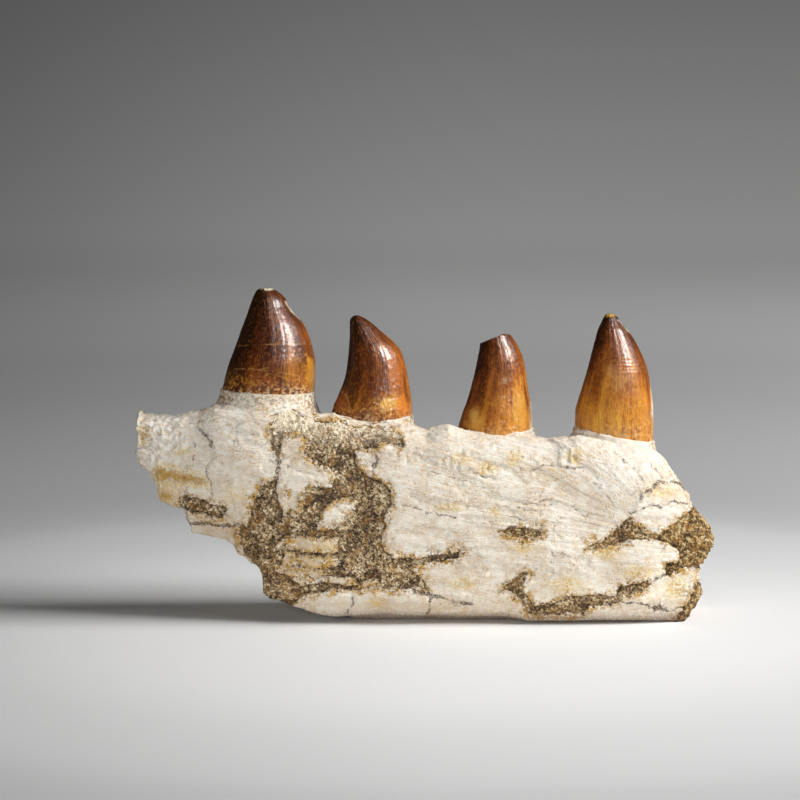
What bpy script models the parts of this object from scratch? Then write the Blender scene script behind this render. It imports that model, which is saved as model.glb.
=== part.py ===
"""A fossil mosasaur jaw: a broken length of jaw bone that stands on its lower edge, four tooth crowns set in
sockets along its top, and the sandy rock that still fills the gaps in the bone.

Lengths are in millimetres until a mesh is made, and +Z is up. X runs along the jaw, and -Y is the outer face.
The outlines were read off a picture of the outer face, taken from just above the ground, so they are kept in
the picture's own units. traced() turns such a point into millimetres.
"""

import itertools
import math

import bmesh
import bpy
import numpy as np

# Driving dimensions.
MM = 0.001
LENGTH = 240.0
CROWN_GAP = 0.35
ROCK_GAP = 0.35
POCKET_DEPTH = 5.5
ROCK_RECESS = 0.9
ROOT_DEPTH = 11.0

# The picture: its units, how it was taken, and the unit that lies over the origin.
PICTURE_SPAN = 579.0
UNIT = LENGTH / PICTURE_SPAN
EYE_DISTANCE = 1200.0
EYE_ELEVATION = math.radians(7.0)
PICTURE_MIDDLE = 400.0
ORIGIN_ACROSS = 426.0
GROUND_LINE = 616.3

# The jaw's top and bottom edges, as (across, down) in picture units, and the planes Y = ... that they lie on.
TOP_LINE_Y, BOTTOM_LINE_Y = -10.0, -6.0
TOP_LINE = [
    (137, 414), (142, 415), (154, 416), (166, 416), (178, 415), (190, 412), (202, 410), (214, 404),
    (240, 403), (270, 405), (300, 409), (321, 414), (333, 413), (346, 417), (356, 420), (375, 422),
    (400, 423), (412, 426), (425, 429), (436, 426), (448, 424), (460, 428), (480, 431), (493, 433),
    (522, 435), (538, 437), (550, 438), (562, 436), (576, 435), (600, 439), (630, 444), (652, 449),
    (664, 457), (670, 467), (682, 484), (691, 496),
]
BOTTOM_LINE = [
    (137, 457), (142, 466), (148, 470), (154, 479), (158, 489), (160, 501), (168, 506), (183, 508),
    (186, 519), (191, 531), (205, 533), (224, 537), (234, 541), (237, 549), (246, 556), (256, 562),
    (261, 569), (263, 589), (268, 594), (292, 601), (304, 604), (316, 608), (330, 611), (345, 612),
]
FOOT_START, FOOT_END = 354, 684
HEEL = [(684, 616), (691, 611)]

# The jaw's thickness, and how far its middle plane stands behind Y = 0, in millimetres, along the picture.
THICKNESS = [(137, 29), (170, 33), (215, 39), (262, 45), (330, 50), (420, 52), (560, 52), (640, 49), (691, 40)]
SETBACK = [(137, 3.0), (215, 1.0), (300, 0.0), (560, 0.0), (691, 1.5)]

# One section of the jaw as (share of the half thickness, share of the height), from the middle of the foot
# round by the outer face and the top, and how many points each stretch takes. Below FLAT_BELOW it is flat.
SECTION = [
    (0.00, 0.00), (-0.36, 0.00), (-0.66, 0.00), (-0.89, 0.08), (-1.00, 0.25), (-1.00, 0.50), (-0.96, 0.72),
    (-0.85, 0.91), (-0.58, 1.00), (-0.20, 0.985), (0.22, 0.945), (0.62, 0.88), (0.88, 0.72), (0.99, 0.50),
    (0.97, 0.25), (0.82, 0.07), (0.56, 0.00), (0.28, 0.00),
]
SECTION_POINTS = [1, 1, 1, 2, 3, 4, 3, 2, 1, 1, 1, 2, 2, 3, 2, 1, 1, 1]
FLAT_BELOW = 0.012

# The foot's outer edge is worn up by FRONT_LIFT on the left. Over FOOT_CHANGE it comes down to the ground and
# steps out by FOOT_REACH of the half thickness. Both fade out at a share of the height.
FRONT_LIFT, LIFT_FROM, LIFT_OVER, LIFT_HEIGHT = 3.0, 0.36, 0.35, 0.25
FOOT_REACH, REACH_FROM, REACH_HEIGHT = 0.12, 0.3, 0.1
FOOT_CHANGE = (505, 525)

# The broken ends: how far along the picture each reaches, at each height down it. Over END_BLEND the rings bend
# to them, and CAP_RINGS are the shares to which the last ring shrinks, with how far back each one lies.
LEFT_END = [(414, 138.5), (426, 138), (436, 140), (443, 139), (452, 136.5), (466, 137)]
RIGHT_END = [
    (496, 692), (512, 701), (525, 711), (537, 715), (546, 711), (556, 703), (564, 698), (572, 698),
    (590, 702), (600, 698), (612, 690),
]
END_BLEND = 12.0
CAP_RINGS = ((0.90, 1.6), (0.62, 0.4), (0.28, 0.9))
LEFT_CAP_SHARE = 0.4
CAP_ROUGHNESS, CAP_ROUGH_SIZE = 0.8, 7.0

# How closely the rings follow each other on the outside and on pocket floors: the least and greatest steps.
SKIN_STEPS = (2.3, 5.5)
CORE_STEPS = (8.0, 13.0)
FACET_ANGLE = math.radians(3.5)

# Swellings and hollows of the outer face: (across, down, half width, half height, millimetres out).
SWELLS = [
    (470, 500, 80, 45, 0.9), (585, 512, 42, 26, -1.9), (560, 552, 55, 11, 1.0), (640, 560, 36, 16, 0.9),
    (612, 475, 30, 20, 0.8), (240, 470, 32, 30, 1.0), (160, 440, 30, 26, -1.0), (205, 520, 26, 14, -1.4),
    (640, 604, 60, 10, 1.6), (400, 602, 70, 9, 1.4), (305, 560, 40, 22, -1.2), (355, 520, 22, 50, -1.0),
]
# Swellings and hollows of the inner face, which is plainer: a long groove between two low ridges.
BACK_SWELLS = [
    (430, 520, 150, 12, -2.6), (430, 485, 150, 16, 1.0), (470, 575, 120, 16, 1.2), (220, 455, 40, 25, -1.2),
    (620, 500, 40, 25, -1.6), (330, 560, 40, 20, -1.4),
]
ROUGHNESS = [(26.0, 0.55), (9.0, 0.35)]
FACE_Y = 24.0
FACE_FROM, FACE_OVER = 0.45, 0.4
BACK_ROUGHNESS, TOP_ROUGHNESS = 1.6, 0.8
TOP_FROM, TOP_OVER = 30.0, 20.0
GROUND_FADE = 5.0

# Tooth crowns, each as levels of (down, left edge, right edge) in picture units from the tip to the base line,
# then its depth as a share of its width, how far its middle stands behind Y = 0, and its lean back at the tip.
CROWNS = {
    "tooth_1": {
        "levels": [
            (288, 260, 271), (291, 256.5, 277), (298, 253, 285), (306, 250, 290), (315, 247, 297),
            (324, 243.5, 303.5), (344, 236.5, 311.5), (367, 228, 315.5), (386, 223.5, 315), (394, 222, 314),
        ],
        "depth": 0.80, "setback": 1.5, "lean": 3.0,
    },
    "tooth_2": {
        "levels": [
            (316, 353.5, 360), (319, 350.5, 366), (325, 350, 374), (333, 350, 383), (345, 349.3, 396.5),
            (355, 348.5, 402.5), (375, 345.8, 407.5), (393, 339.5, 410.5), (407, 333.5, 412), (419, 330.5, 412),
        ],
        "depth": 0.78, "setback": 0.5, "lean": 4.0,
    },
    "tooth_3": {
        "levels": [
            (334, 480, 510.5), (339, 480.5, 513.5), (346, 480, 518), (358, 477.8, 523), (372, 475, 526),
            (388, 471, 528), (402, 466.8, 530.5), (414, 462.3, 532), (427, 458.7, 533), (436, 457.5, 533.5),
        ],
        "depth": 0.82, "setback": 0.5, "lean": 2.5,
    },
    "tooth_4": {
        "levels": [
            (314.5, 605.5, 614), (317, 604, 617.5), (321, 602, 620.5), (330, 598, 628), (342, 594.7, 635.6),
            (355, 591.2, 642.1), (370, 587.5, 647.6), (383, 583.6, 650), (399, 578.7, 652.3), (412, 575.4, 653.2),
            (425, 575.2, 653.4), (436, 576, 652.8),
        ],
        "depth": 0.78, "setback": 1.0, "lean": 3.0,
    },
}
CROWN_POINTS = 20
KEEL = 0.035
LEAN_POWER = 1.6
TIP_ROUNDNESS = 0.6
ROOT_SHAPE = ((1.0, 0.62), (0.35, 0.86))
CHIP_Y, CHIP_REACH = 2.0, (-60.0, 60.0)
BROKEN_TIPS = {
    "tooth_3": (
        (460, 349), (480, 343.5), (488, 340.5), (497, 337), (503, 334.3), (510, 335), (516, 341), (535, 355),
        (535, 310), (460, 310),
    ),
}
CHIPS = {
    "tooth_1": ((285, 300), (287, 303.5), (291, 310), (296, 315), (302, 319.5), (312, 316), (300, 300)),
    "tooth_4": ((620, 320), (622, 323), (626, 328.5), (629, 331), (634, 326), (626, 316)),
}

# Collars of old root that carry the crowns: the two edges of the collar's top and of its foot, and its depth.
COLLARS = {
    "tooth_1": {"top": ((220.5, 389), (314.8, 392)), "foot": ((211, 408), (325, 420)), "depth": 0.86},
    "tooth_2": {"top": ((334.5, 421), (413.0, 415)), "foot": ((331, 434), (428, 434)), "depth": 0.80},
    "tooth_3": {"top": ((462.0, 434), (534.8, 428)), "foot": ((455, 444), (541, 444)), "depth": 0.84},
    "tooth_4": {"top": ((573.2, 427), (654.6, 441)), "foot": ((557, 444), (664, 462)), "depth": 0.84},
}
COLLAR_LEVELS = (-0.6, 0.0, 0.45, 0.8, 1.0)
COLLAR_FALL = 3.0

# Sandy rock in the gaps of the bone, as outlines in picture units, and how far behind Y = 0 each reaches.
# Two of them wrap round the right end, where "end" bounds them as an outline of (y, z) in millimetres.
ROCKS = {
    "rock_centre": {
        "outline": [
            (273, 418), (285, 411), (294, 410), (300, 417), (312, 419), (322, 424), (337, 421), (356, 427),
            (372, 427), (386, 431), (401, 436), (402, 446), (389, 443), (378, 441), (374, 447), (358, 449),
            (352, 452), (354, 462), (363, 474), (374, 479), (387, 486), (391, 495), (390, 504), (385, 510),
            (385, 520), (383, 530), (380, 544), (383, 553), (397, 559), (430, 557), (448, 554.5), (461, 551),
            (457, 558), (434, 562), (414, 563), (408, 568), (413, 573), (422, 578), (430, 591), (419, 586),
            (407, 588), (380, 589), (356, 590), (330, 590), (313, 592), (301, 596), (288, 608), (252, 608),
            (252, 574), (253, 562), (244, 552), (240, 538), (241, 525), (247, 528), (252, 517), (251, 508),
            (257, 497), (266, 483), (276, 480), (283, 486), (285, 492), (286, 508), (290, 517), (297, 517),
            (303, 511), (304, 497), (306, 491), (318, 487), (331, 490), (335, 478), (330, 467), (315, 461),
            (305, 452), (306, 437), (302, 430), (281, 433), (279, 449), (274, 449), (272, 435),
        ],
        "holes": [
            [
                (321, 511), (330, 503), (342, 498), (361, 501), (351, 512), (343, 522), (335, 528), (326, 532),
                (317, 529), (319, 519),
            ],
            [
                (288, 541), (298, 535), (318, 537), (337, 539), (338, 552), (340, 565), (330, 575), (352, 578),
                (355, 583), (346, 585.5), (319, 583), (300, 586), (287, 580), (273, 566), (284, 552),
            ],
        ],
        "reach": 6.0,
    },
    "rock_left": {
        "outline": [
            (178, 500), (188, 498.5), (199, 501), (207, 504.5), (221, 506), (223.5, 511), (221.5, 517),
            (214, 517), (202, 514), (188, 512), (180, 507),
        ],
        "holes": [],
        "reach": -4.0,
    },
    "rock_lower_seam": {
        "outline": [
            (504, 588), (512, 583), (519, 576), (528, 572.5), (522, 583), (522, 592), (528, 601), (534, 608.5),
            (545, 605.5), (556, 603), (563, 598), (584, 595), (602, 595), (616, 597), (621, 588), (632, 585),
            (648, 581.5), (650, 587), (633, 591), (623, 595), (619, 604), (602, 605), (588, 607), (585, 613.5),
            (560, 613), (530, 616), (522, 611), (525, 605), (517, 594), (510, 590),
        ],
        "holes": [],
        "reach": -15.0,
    },
    "rock_upper_seam": {
        "outline": [
            (585, 552), (594, 543), (604, 540), (614, 534), (624, 523.5), (630, 518.5), (637, 525.5),
            (646, 532.5), (661, 535), (661, 538), (646, 538), (634, 539), (619, 542.5), (606, 546),
        ],
        "holes": [],
        "reach": -6.0,
    },
    "rock_lens": {
        "outline": [
            (501, 533), (509, 528), (517, 526.8), (526, 527.5), (541, 531), (541.5, 535), (532, 538), (522, 539.5),
            (509, 536),
        ],
        "holes": [],
        "reach": -8.0,
    },
    "rock_end": {
        "outline": [
            (660, 539), (672, 527), (681, 519), (691, 517), (693, 509), (700, 500), (740, 500), (740, 567),
            (700, 567), (688, 568), (680, 568), (668, 575), (665, 564), (678, 562), (680, 553), (672, 545),
        ],
        "holes": [],
        "reach": 40.0,
        "end": [
            (-70, 10), (-17, 12), (-9, 23), (0, 21), (7, 27), (12, 33), (10, 40), (13, 45), (5, 50), (-4, 47),
            (-12, 57), (-70, 62),
        ],
    },
    "rock_heel": {
        "outline": [(699, 583), (720, 583), (720, 626), (677, 626), (679, 614), (687, 607), (694, 597)],
        "holes": [],
        "reach": 40.0,
        "end": [(-70, -9), (-2, -9), (4, 3), (0, 7), (5, 11), (-4, 13), (-12, 20), (-70, 26)],
    },
}
# The same on the inner face, where only the reach towards the front is given.
BACK_ROCKS = {
    "rock_back": {
        "outline": [
            (318, 500), (352, 486), (384, 478), (398, 490), (392, 516), (412, 540), (436, 551), (428, 568),
            (396, 566), (372, 580), (334, 584), (300, 577), (292, 552), (306, 538), (303, 516),
        ],
        "holes": [[(336, 524), (356, 514), (368, 522), (362, 544), (344, 552), (330, 542)]],
        "reach": 6.0,
    },
}
REACH_PAST = 70.0
ROCK_PLANE = 22.0

BONE_COLOUR = (0.76, 0.70, 0.61, 1.0)
ROCK_COLOUR = (0.32, 0.24, 0.15, 1.0)
ENAMEL_COLOUR = (0.30, 0.12, 0.03, 1.0)


def clear_scene():
    for obj in list(bpy.data.objects):
        bpy.data.objects.remove(obj, do_unlink=True)


def new_collection(name, hidden=False):
    collection = bpy.data.collections.new(name)
    bpy.context.scene.collection.children.link(collection)
    collection.hide_render = hidden
    return collection


def new_material(name, colour, roughness):
    material = bpy.data.materials.new(name)
    material.use_nodes = True
    shader = material.node_tree.nodes["Principled BSDF"]
    shader.inputs["Base Color"].default_value = colour
    shader.inputs["Roughness"].default_value = roughness
    shader.inputs["Metallic"].default_value = 0.0
    material.diffuse_color = colour
    return material


def traced(across, down, y):
    """(x, z) where the line of sight through a point of the picture meets the plane Y = y."""
    aim_z = (GROUND_LINE - PICTURE_MIDDLE) * UNIT / math.cos(EYE_ELEVATION)
    aim_x = (PICTURE_MIDDLE - ORIGIN_ACROSS) * UNIT
    right = (np.asarray(across, float) - PICTURE_MIDDLE) * UNIT / EYE_DISTANCE
    up = (PICTURE_MIDDLE - np.asarray(down, float)) * UNIT / EYE_DISTANCE
    cos, sin = math.cos(EYE_ELEVATION), math.sin(EYE_ELEVATION)
    travel = (np.asarray(y, float) + EYE_DISTANCE * cos) / (cos + up * sin)
    x = aim_x + travel * right
    z = aim_z + EYE_DISTANCE * sin + travel * (up * cos - sin)
    return x, z


def traced_line(line, y):
    """The points of an outline as an array of (x, z) on the plane Y = y."""
    return np.array([traced(across, down, y) for across, down in line])


def along(table, x):
    """A value given along the picture, read at x in millimetres."""
    places = traced([row[0] for row in table], PICTURE_MIDDLE, 0.0)[0]
    return np.interp(x, places, [row[1] for row in table])


def lattice(corner, seed):
    """A repeatable number from -1 to 1 for each whole-number point."""
    mixed = corner @ np.array([374761393, 668265263, 362437]) + seed * 1274126177
    mixed = (mixed ^ (mixed >> 13)) * 1103515245 & 0x7FFFFFFF
    return ((mixed ^ (mixed >> 16)) & 0xFFFF) / 32767.5 - 1.0


def grain(points, size, seed):
    """Smooth noise from -1 to 1 at points, which varies over about size."""
    place = np.asarray(points, float) / size
    base = np.floor(place).astype(np.int64)
    part = place - base
    part = part * part * (3.0 - 2.0 * part)
    total = np.zeros(place.shape[:-1])
    for corner in itertools.product((0, 1), repeat=3):
        share = np.prod(np.where(np.array(corner) == 1, part, 1.0 - part), axis=-1)
        total += share * lattice(base + np.array(corner), seed)
    return total


def section_curve():
    """The jaw's section as points of a closed smooth curve."""
    shape = np.array(SECTION)
    points = []
    for index, steps in enumerate(SECTION_POINTS):
        p0, p1, p2, p3 = (shape[(index + k) % len(shape)] for k in (-1, 0, 1, 2))
        for t in np.arange(steps) / steps:
            linear, square, cube = p2 - p0, 2 * p0 - 5 * p1 + 4 * p2 - p3, 3 * p1 - p0 - 3 * p2 + p3
            points.append(p1 + 0.5 * (linear * t + square * t**2 + cube * t**3))
    curve = np.array(points)
    curve[:, 1] = np.where(curve[:, 1] < FLAT_BELOW, 0.0, curve[:, 1])
    return curve


def ramp(value, start, length):
    """0 where value is start or less, rising evenly to 1 over length."""
    return np.clip((value - start) / length, 0.0, 1.0)


def place(across):
    """The x of a place along the picture, on the plane Y = 0."""
    return traced(across, PICTURE_MIDDLE, 0.0)[0]


def swell(x, z, table, y):
    """How far a face stands out at (x, z) for a table of swellings."""
    total = np.zeros_like(x)
    for across, down, half_width, half_height, out in table:
        mid_x, mid_z = traced(across, down, y)
        reach = ((x - mid_x) / (half_width * UNIT)) ** 2 + ((z - mid_z) / (half_height * UNIT)) ** 2
        total += out * np.exp(-reach)
    return total


def bottom_edge():
    """The bottom edge as (x, z), with the flat foot on the ground."""
    foot = [[place(FOOT_START), 0.0], [place(FOOT_END), 0.0]]
    return np.concatenate([traced_line(BOTTOM_LINE, BOTTOM_LINE_Y), foot, traced_line(HEEL, BOTTOM_LINE_Y)])


def ring_at(x, top, bottom, curve, inset):
    """One ring of points round the jaw at x."""
    high = np.interp(x, top[:, 0], top[:, 1]) - inset
    low = np.interp(x, bottom[:, 0], bottom[:, 1]) + inset
    half = along(THICKNESS, x) / 2 - inset
    across, height = curve[:, 0].copy(), curve[:, 1]
    forward = ramp(x, place(FOOT_CHANGE[0]), place(FOOT_CHANGE[1]) - place(FOOT_CHANGE[0]))
    at_foot = (height < REACH_HEIGHT) & (across < -REACH_FROM)
    across[at_foot] -= FOOT_REACH * forward * (1.0 - height[at_foot] / REACH_HEIGHT)
    y = along(SETBACK, x) + across * half
    z = low + height * (high - low)
    if place(FOOT_START) - 1.0 < x < place(FOOT_END):
        rise = ramp(-across, LIFT_FROM, LIFT_OVER) ** 1.5
        z += FRONT_LIFT * (1.0 - forward) * rise * (1.0 - ramp(height, 0.0, LIFT_HEIGHT))
    return np.stack([np.full_like(y, x), y, z], axis=1)


def jaw_rings(inset, steps):
    """Rings of points round the jaw, from its left end to its right, all inset by this much. steps are the
    least and the greatest distance from one ring to the next."""
    top, bottom = traced_line(TOP_LINE, TOP_LINE_Y), bottom_edge()
    first, last = top[0, 0] + inset, top[-1, 0] - inset
    marks = [x for x in np.concatenate([top[:, 0], bottom[:, 0]]) if first < x < last]
    stations = spaced(sorted([first, *marks, last]), *steps)
    curve = section_curve()
    rings = np.array([ring_at(x, top, bottom, curve, inset) for x in stations])
    return with_relief(with_ends(rings, inset))


def spaced(marks, least, greatest):
    """The marks, less those too close to the one before, with the wide gaps between them divided evenly."""
    kept = [marks[0]]
    for mark in marks[1:]:
        if mark - kept[-1] > least or mark == marks[-1]:
            kept.append(mark)
    if kept[-1] - kept[-2] <= least:
        del kept[-2]
    places = []
    for start, end in zip(kept, kept[1:]):
        count = max(1, math.ceil((end - start) / greatest))
        places += [start + (end - start) * k / count for k in range(count)]
    return [*places, kept[-1]]


def end_reach(table, z, inset, side):
    """How far along X an end reaches at height z."""
    line = traced_line([(across, down) for down, across in table], 0.0)
    order = np.argsort(line[:, 1])
    return np.interp(z, line[order, 1], line[order, 0]) - side * inset


def with_ends(rings, inset):
    """Bends the first and last rings to the broken ends, and adds the smaller rings that close them."""
    left = rings[0, 0, 0]
    nearness = 1.0 - ramp(rings[..., 0], left, END_BLEND)
    rings[..., 0] += nearness * (end_reach(LEFT_END, rings[..., 2], inset, -1) - left)
    caps = {}
    for side, ring, table in ((-1, rings[0], LEFT_END), (1, rings[-1], RIGHT_END)):
        middle = ring.mean(axis=0)
        caps[side] = []
        for share, depth in CAP_RINGS:
            smaller = middle + (ring - middle) * share
            broken = np.abs(grain(smaller * [0, 1, 1], CAP_ROUGH_SIZE, 5)) * CAP_ROUGHNESS
            back = depth * (LEFT_CAP_SHARE if side < 0 else 1.0) + broken
            smaller[:, 0] = end_reach(table, smaller[:, 2], inset, side) - side * back
            caps[side].append(smaller)
    return np.concatenate([caps[-1][::-1], rings, caps[1]])


def with_relief(rings):
    """The jaw's swellings, hollows and roughness, which fade out towards its foot."""
    x, y, z = rings[..., 0], rings[..., 1], rings[..., 2]
    side = np.clip((y - along(SETBACK, x)) / (along(THICKNESS, x) / 2), -1.0, 1.0)
    front, back = ramp(-side, FACE_FROM, FACE_OVER), ramp(side, FACE_FROM, FACE_OVER)
    off_foot = ramp(z, 0.0, GROUND_FADE)
    rough = sum(out * grain(rings, size, seed) for seed, (size, out) in enumerate(ROUGHNESS))
    rings[..., 1] -= front * off_foot * (swell(x, z, SWELLS, -FACE_Y) + rough)
    rings[..., 1] += back * off_foot * (swell(x, z, BACK_SWELLS, FACE_Y) + rough * BACK_ROUGHNESS)
    upward = (1.0 - ramp(np.abs(side), 0.0, 0.7)) * ramp(z, TOP_FROM, TOP_OVER)
    rings[..., 2] += upward * rough * TOP_ROUGHNESS
    return rings


def loft(name, rings, collection, material=None):
    """A closed mesh through rings of points, in metres, its two ends closed flat."""
    shape = bmesh.new()
    loops = [[shape.verts.new([c * MM for c in point]) for point in ring] for ring in rings]
    for near, far in zip(loops, loops[1:]):
        for start in range(len(near)):
            end = (start + 1) % len(near)
            shape.faces.new((near[start], near[end], far[end], far[start]))
    for ring in (loops[0], loops[-1]):
        centre = shape.verts.new(sum((v.co for v in ring), ring[0].co * 0) / len(ring))
        for start in range(len(ring)):
            shape.faces.new((ring[start], ring[(start + 1) % len(ring)], centre))
    bmesh.ops.recalc_face_normals(shape, faces=shape.faces)
    bmesh.ops.triangulate(shape, faces=shape.faces)
    mesh = bpy.data.meshes.new(name)
    shape.to_mesh(mesh)
    shape.free()
    obj = bpy.data.objects.new(name, mesh)
    collection.objects.link(obj)
    if material:
        mesh.materials.append(material)
    return obj


def slab(name, outlines, depth, collection, endways=False):
    """Flat outlines of (x, z) in millimetres, the first filled and the rest holes in it, as a slab from
    depth[0] to depth[1] along Y. Where it is endways, outlines are (y, z) and depth is along X."""
    curve = bpy.data.curves.new(name, "CURVE")
    curve.dimensions = "2D"
    curve.fill_mode = "BOTH"
    curve.extrude = (depth[1] - depth[0]) / 2 * MM
    for outline in outlines:
        spline = curve.splines.new("POLY")
        spline.points.add(len(outline) - 1)
        for point, (x, z) in zip(spline.points, outline):
            point.co = (x * MM, z * MM, 0.0, 1.0)
        spline.use_cyclic_u = True
    flat = bpy.data.objects.new(name + "_outline", curve)
    collection.objects.link(flat)
    middle = (depth[0] + depth[1]) / 2 * MM
    flat.rotation_euler = (math.pi / 2, 0.0, math.pi / 2 if endways else 0.0)
    flat.location = (middle, 0.0, 0.0) if endways else (0.0, middle, 0.0)
    return as_mesh(flat, name, collection)


def as_mesh(source, name, collection):
    """The evaluated shape of source as a welded mesh of its own, in place of source."""
    bpy.context.view_layer.update()
    evaluated = source.evaluated_get(bpy.context.evaluated_depsgraph_get())
    mesh = bpy.data.meshes.new_from_object(evaluated)
    mesh.transform(source.matrix_world)
    shape = bmesh.new()
    shape.from_mesh(mesh)
    bmesh.ops.remove_doubles(shape, verts=shape.verts, dist=0.00001)
    bmesh.ops.recalc_face_normals(shape, faces=shape.faces)
    shape.to_mesh(mesh)
    shape.free()
    bpy.data.objects.remove(source)
    obj = bpy.data.objects.new(name, mesh)
    collection.objects.link(obj)
    return obj


def joined(target, cutter, operation):
    """Applies a Boolean to target with cutter, in place."""
    modifier = target.modifiers.new(operation.lower(), "BOOLEAN")
    modifier.operation = operation
    modifier.solver = "EXACT"
    modifier.object = cutter
    bpy.context.view_layer.update()
    evaluated = target.evaluated_get(bpy.context.evaluated_depsgraph_get())
    mesh = bpy.data.meshes.new_from_object(evaluated)
    target.modifiers.clear()
    old = target.data
    target.data = mesh
    bpy.data.meshes.remove(old)
    return target


def without_crumbs(obj):
    """Keeps only the largest of the separate bodies that the cuts have left of a piece."""
    shape = bmesh.new()
    shape.from_mesh(obj.data)
    left = set(shape.faces)
    bodies = []
    while left:
        body, border = [], [left.pop()]
        while border:
            face = border.pop()
            body.append(face)
            closed = [edge for edge in face.edges if len(edge.link_faces) == 2]
            beside = {other for edge in closed for other in edge.link_faces} & left
            left -= beside
            border += beside
        bodies.append(body)
    bodies.sort(key=len)
    for body in bodies[:-1]:
        print("left out of", obj.name, "a crumb at", [round(c / MM, 1) for c in body[0].verts[0].co])
        bmesh.ops.delete(shape, geom=body, context="FACES")
    shape.to_mesh(obj.data)
    shape.free()


def with_fewer_facets(obj):
    """Merges facets that lie almost in one plane, and divides them into triangles again."""
    shape = bmesh.new()
    shape.from_mesh(obj.data)
    bmesh.ops.remove_doubles(shape, verts=shape.verts, dist=0.0001)
    bmesh.ops.dissolve_degenerate(shape, dist=0.0001, edges=shape.edges)
    bmesh.ops.dissolve_limit(shape, angle_limit=FACET_ANGLE, verts=shape.verts, edges=shape.edges)
    bmesh.ops.triangulate(shape, faces=shape.faces)
    shape.to_mesh(obj.data)
    shape.free()


def offset_outline(outline, distance):
    """An outline moved outwards by distance, or inwards if it is negative."""
    points = np.array(outline, float)
    before, after = np.roll(points, 1, axis=0), np.roll(points, -1, axis=0)
    area = np.sum(points[:, 0] * after[:, 1] - after[:, 0] * points[:, 1])
    turn = 1.0 if area > 0 else -1.0

    def outward(edge):
        normal = np.stack([edge[:, 1], -edge[:, 0]], axis=1) * turn
        return normal / np.linalg.norm(normal, axis=1, keepdims=True)

    first, second = outward(points - before), outward(after - points)
    bisector = first + second
    stretch = np.maximum(np.sum(bisector * first, axis=1), 0.6)
    return points + bisector * (distance / stretch)[:, None]


def crown_rings(tooth, grow):
    """Rings up a tooth from its root to its tip, widened by grow for the socket."""
    spec = CROWNS[tooth]
    levels = np.array(spec["levels"], float)[::-1]
    base_down, tip_down = levels[0, 0], levels[-1, 0]
    angles = np.arange(CROWN_POINTS) * 2 * math.pi / CROWN_POINTS
    rings = []
    for share, narrow in ROOT_SHAPE:
        (left_x, z), (right_x, _) = (traced(edge, base_down, spec["setback"]) for edge in levels[0, 1:])
        half = (right_x - left_x) / 2 * narrow + grow
        below = z - ROOT_DEPTH * share - (grow if share == 1.0 else 0.0)
        middle = (left_x + right_x) / 2
        rings.append(oval(middle, spec["setback"], below, half, half * spec["depth"], angles, 0.0))
    for down, left, right in levels:
        rise = (base_down - down) / (base_down - tip_down)
        y = spec["setback"] + spec["lean"] * rise**LEAN_POWER
        (left_x, z), (right_x, _) = traced(left, down, y), traced(right, down, y)
        half = (right_x - left_x) / 2 + grow
        depth = half * (spec["depth"] + (1.0 - spec["depth"]) * rise**3 * TIP_ROUNDNESS)
        rings.append(oval((left_x + right_x) / 2, y, z, half, depth, angles, KEEL * (1.0 - 0.5 * rise)))
    return np.array(rings)


def oval(mid_x, mid_y, z, half_x, half_y, angles, keel):
    """One level of a tooth: an oval whose two ends are drawn out into low keels."""
    ends = np.abs(np.cos(angles)) ** 12
    x = mid_x + half_x * np.cos(angles) * (1.0 - keel + keel * ends)
    y = mid_y + half_y * np.sin(angles)
    return np.stack([x, y, np.full_like(x, z)], axis=1)


def collar_rings(tooth):
    """Rings up the collar of root under a crown, from inside the jaw to its sloping top."""
    spec = COLLARS[tooth]
    setback = CROWNS[tooth]["setback"]
    angles = np.arange(CROWN_POINTS) * 2 * math.pi / CROWN_POINTS
    (top_left, top_right), (foot_left, foot_right) = (traced_line(spec[end], setback) for end in ("top", "foot"))
    rings = []
    for share in COLLAR_LEVELS:
        flare = min(1.0, 1.0 - share) ** 2
        left_x, right_x = (top[0] + (foot[0] - top[0]) * flare
                           for top, foot in ((top_left, foot_left), (top_right, foot_right)))
        left_z, right_z = (top[1] + (foot[1] - top[1]) * (1.0 - share)
                           for top, foot in ((top_left, foot_left), (top_right, foot_right)))
        half = (right_x - left_x) / 2
        ring = oval((left_x + right_x) / 2, setback, 0.0, half, half * spec["depth"], angles, 0.0)
        ring[:, 2] = np.interp(ring[:, 0], [left_x, right_x], [left_z, right_z])
        ring[:, 2] -= COLLAR_FALL * ramp(ring[:, 1], setback, half) * max(share, 0.0)
        rings.append(ring)
    return np.array(rings)


def rock_slab(name, spec, inner, grow, collection, helpers):
    """The slab that bounds a patch of rock, its outline moved out by grow."""
    plane = ROCK_PLANE if inner else -ROCK_PLANE
    outlines = [offset_outline(traced_line(spec["outline"], plane), grow)]
    outlines += [offset_outline(traced_line(hole, plane), -grow) for hole in spec["holes"]]
    depth = (-spec["reach"], REACH_PAST) if inner else (-REACH_PAST, spec["reach"])
    rock = slab(name, outlines, depth, collection)
    if "end" in spec:
        bounds = [offset_outline(spec["end"], grow)]
        joined(rock, slab("end_of_" + name, bounds, (0.0, LENGTH), helpers, endways=True), "INTERSECT")
    return rock


def build_bone(collection, helpers, material):
    bone = loft("jaw_bone", jaw_rings(0.0, SKIN_STEPS), collection, material)
    for tooth in COLLARS:
        collar = loft("collar_" + tooth, collar_rings(tooth), helpers)
        joined(bone, collar, "UNION")
    core = loft("core_for_pockets", jaw_rings(POCKET_DEPTH, CORE_STEPS), helpers)
    for inner, rocks in ((False, ROCKS), (True, BACK_ROCKS)):
        for name, spec in rocks.items():
            pocket = rock_slab("pocket_" + name, spec, inner, 0.0, helpers, helpers)
            joined(pocket, core, "DIFFERENCE")
            joined(bone, pocket, "DIFFERENCE")
    for tooth in CROWNS:
        socket = loft("socket_" + tooth, crown_rings(tooth, CROWN_GAP), helpers)
        joined(bone, socket, "DIFFERENCE")


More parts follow.
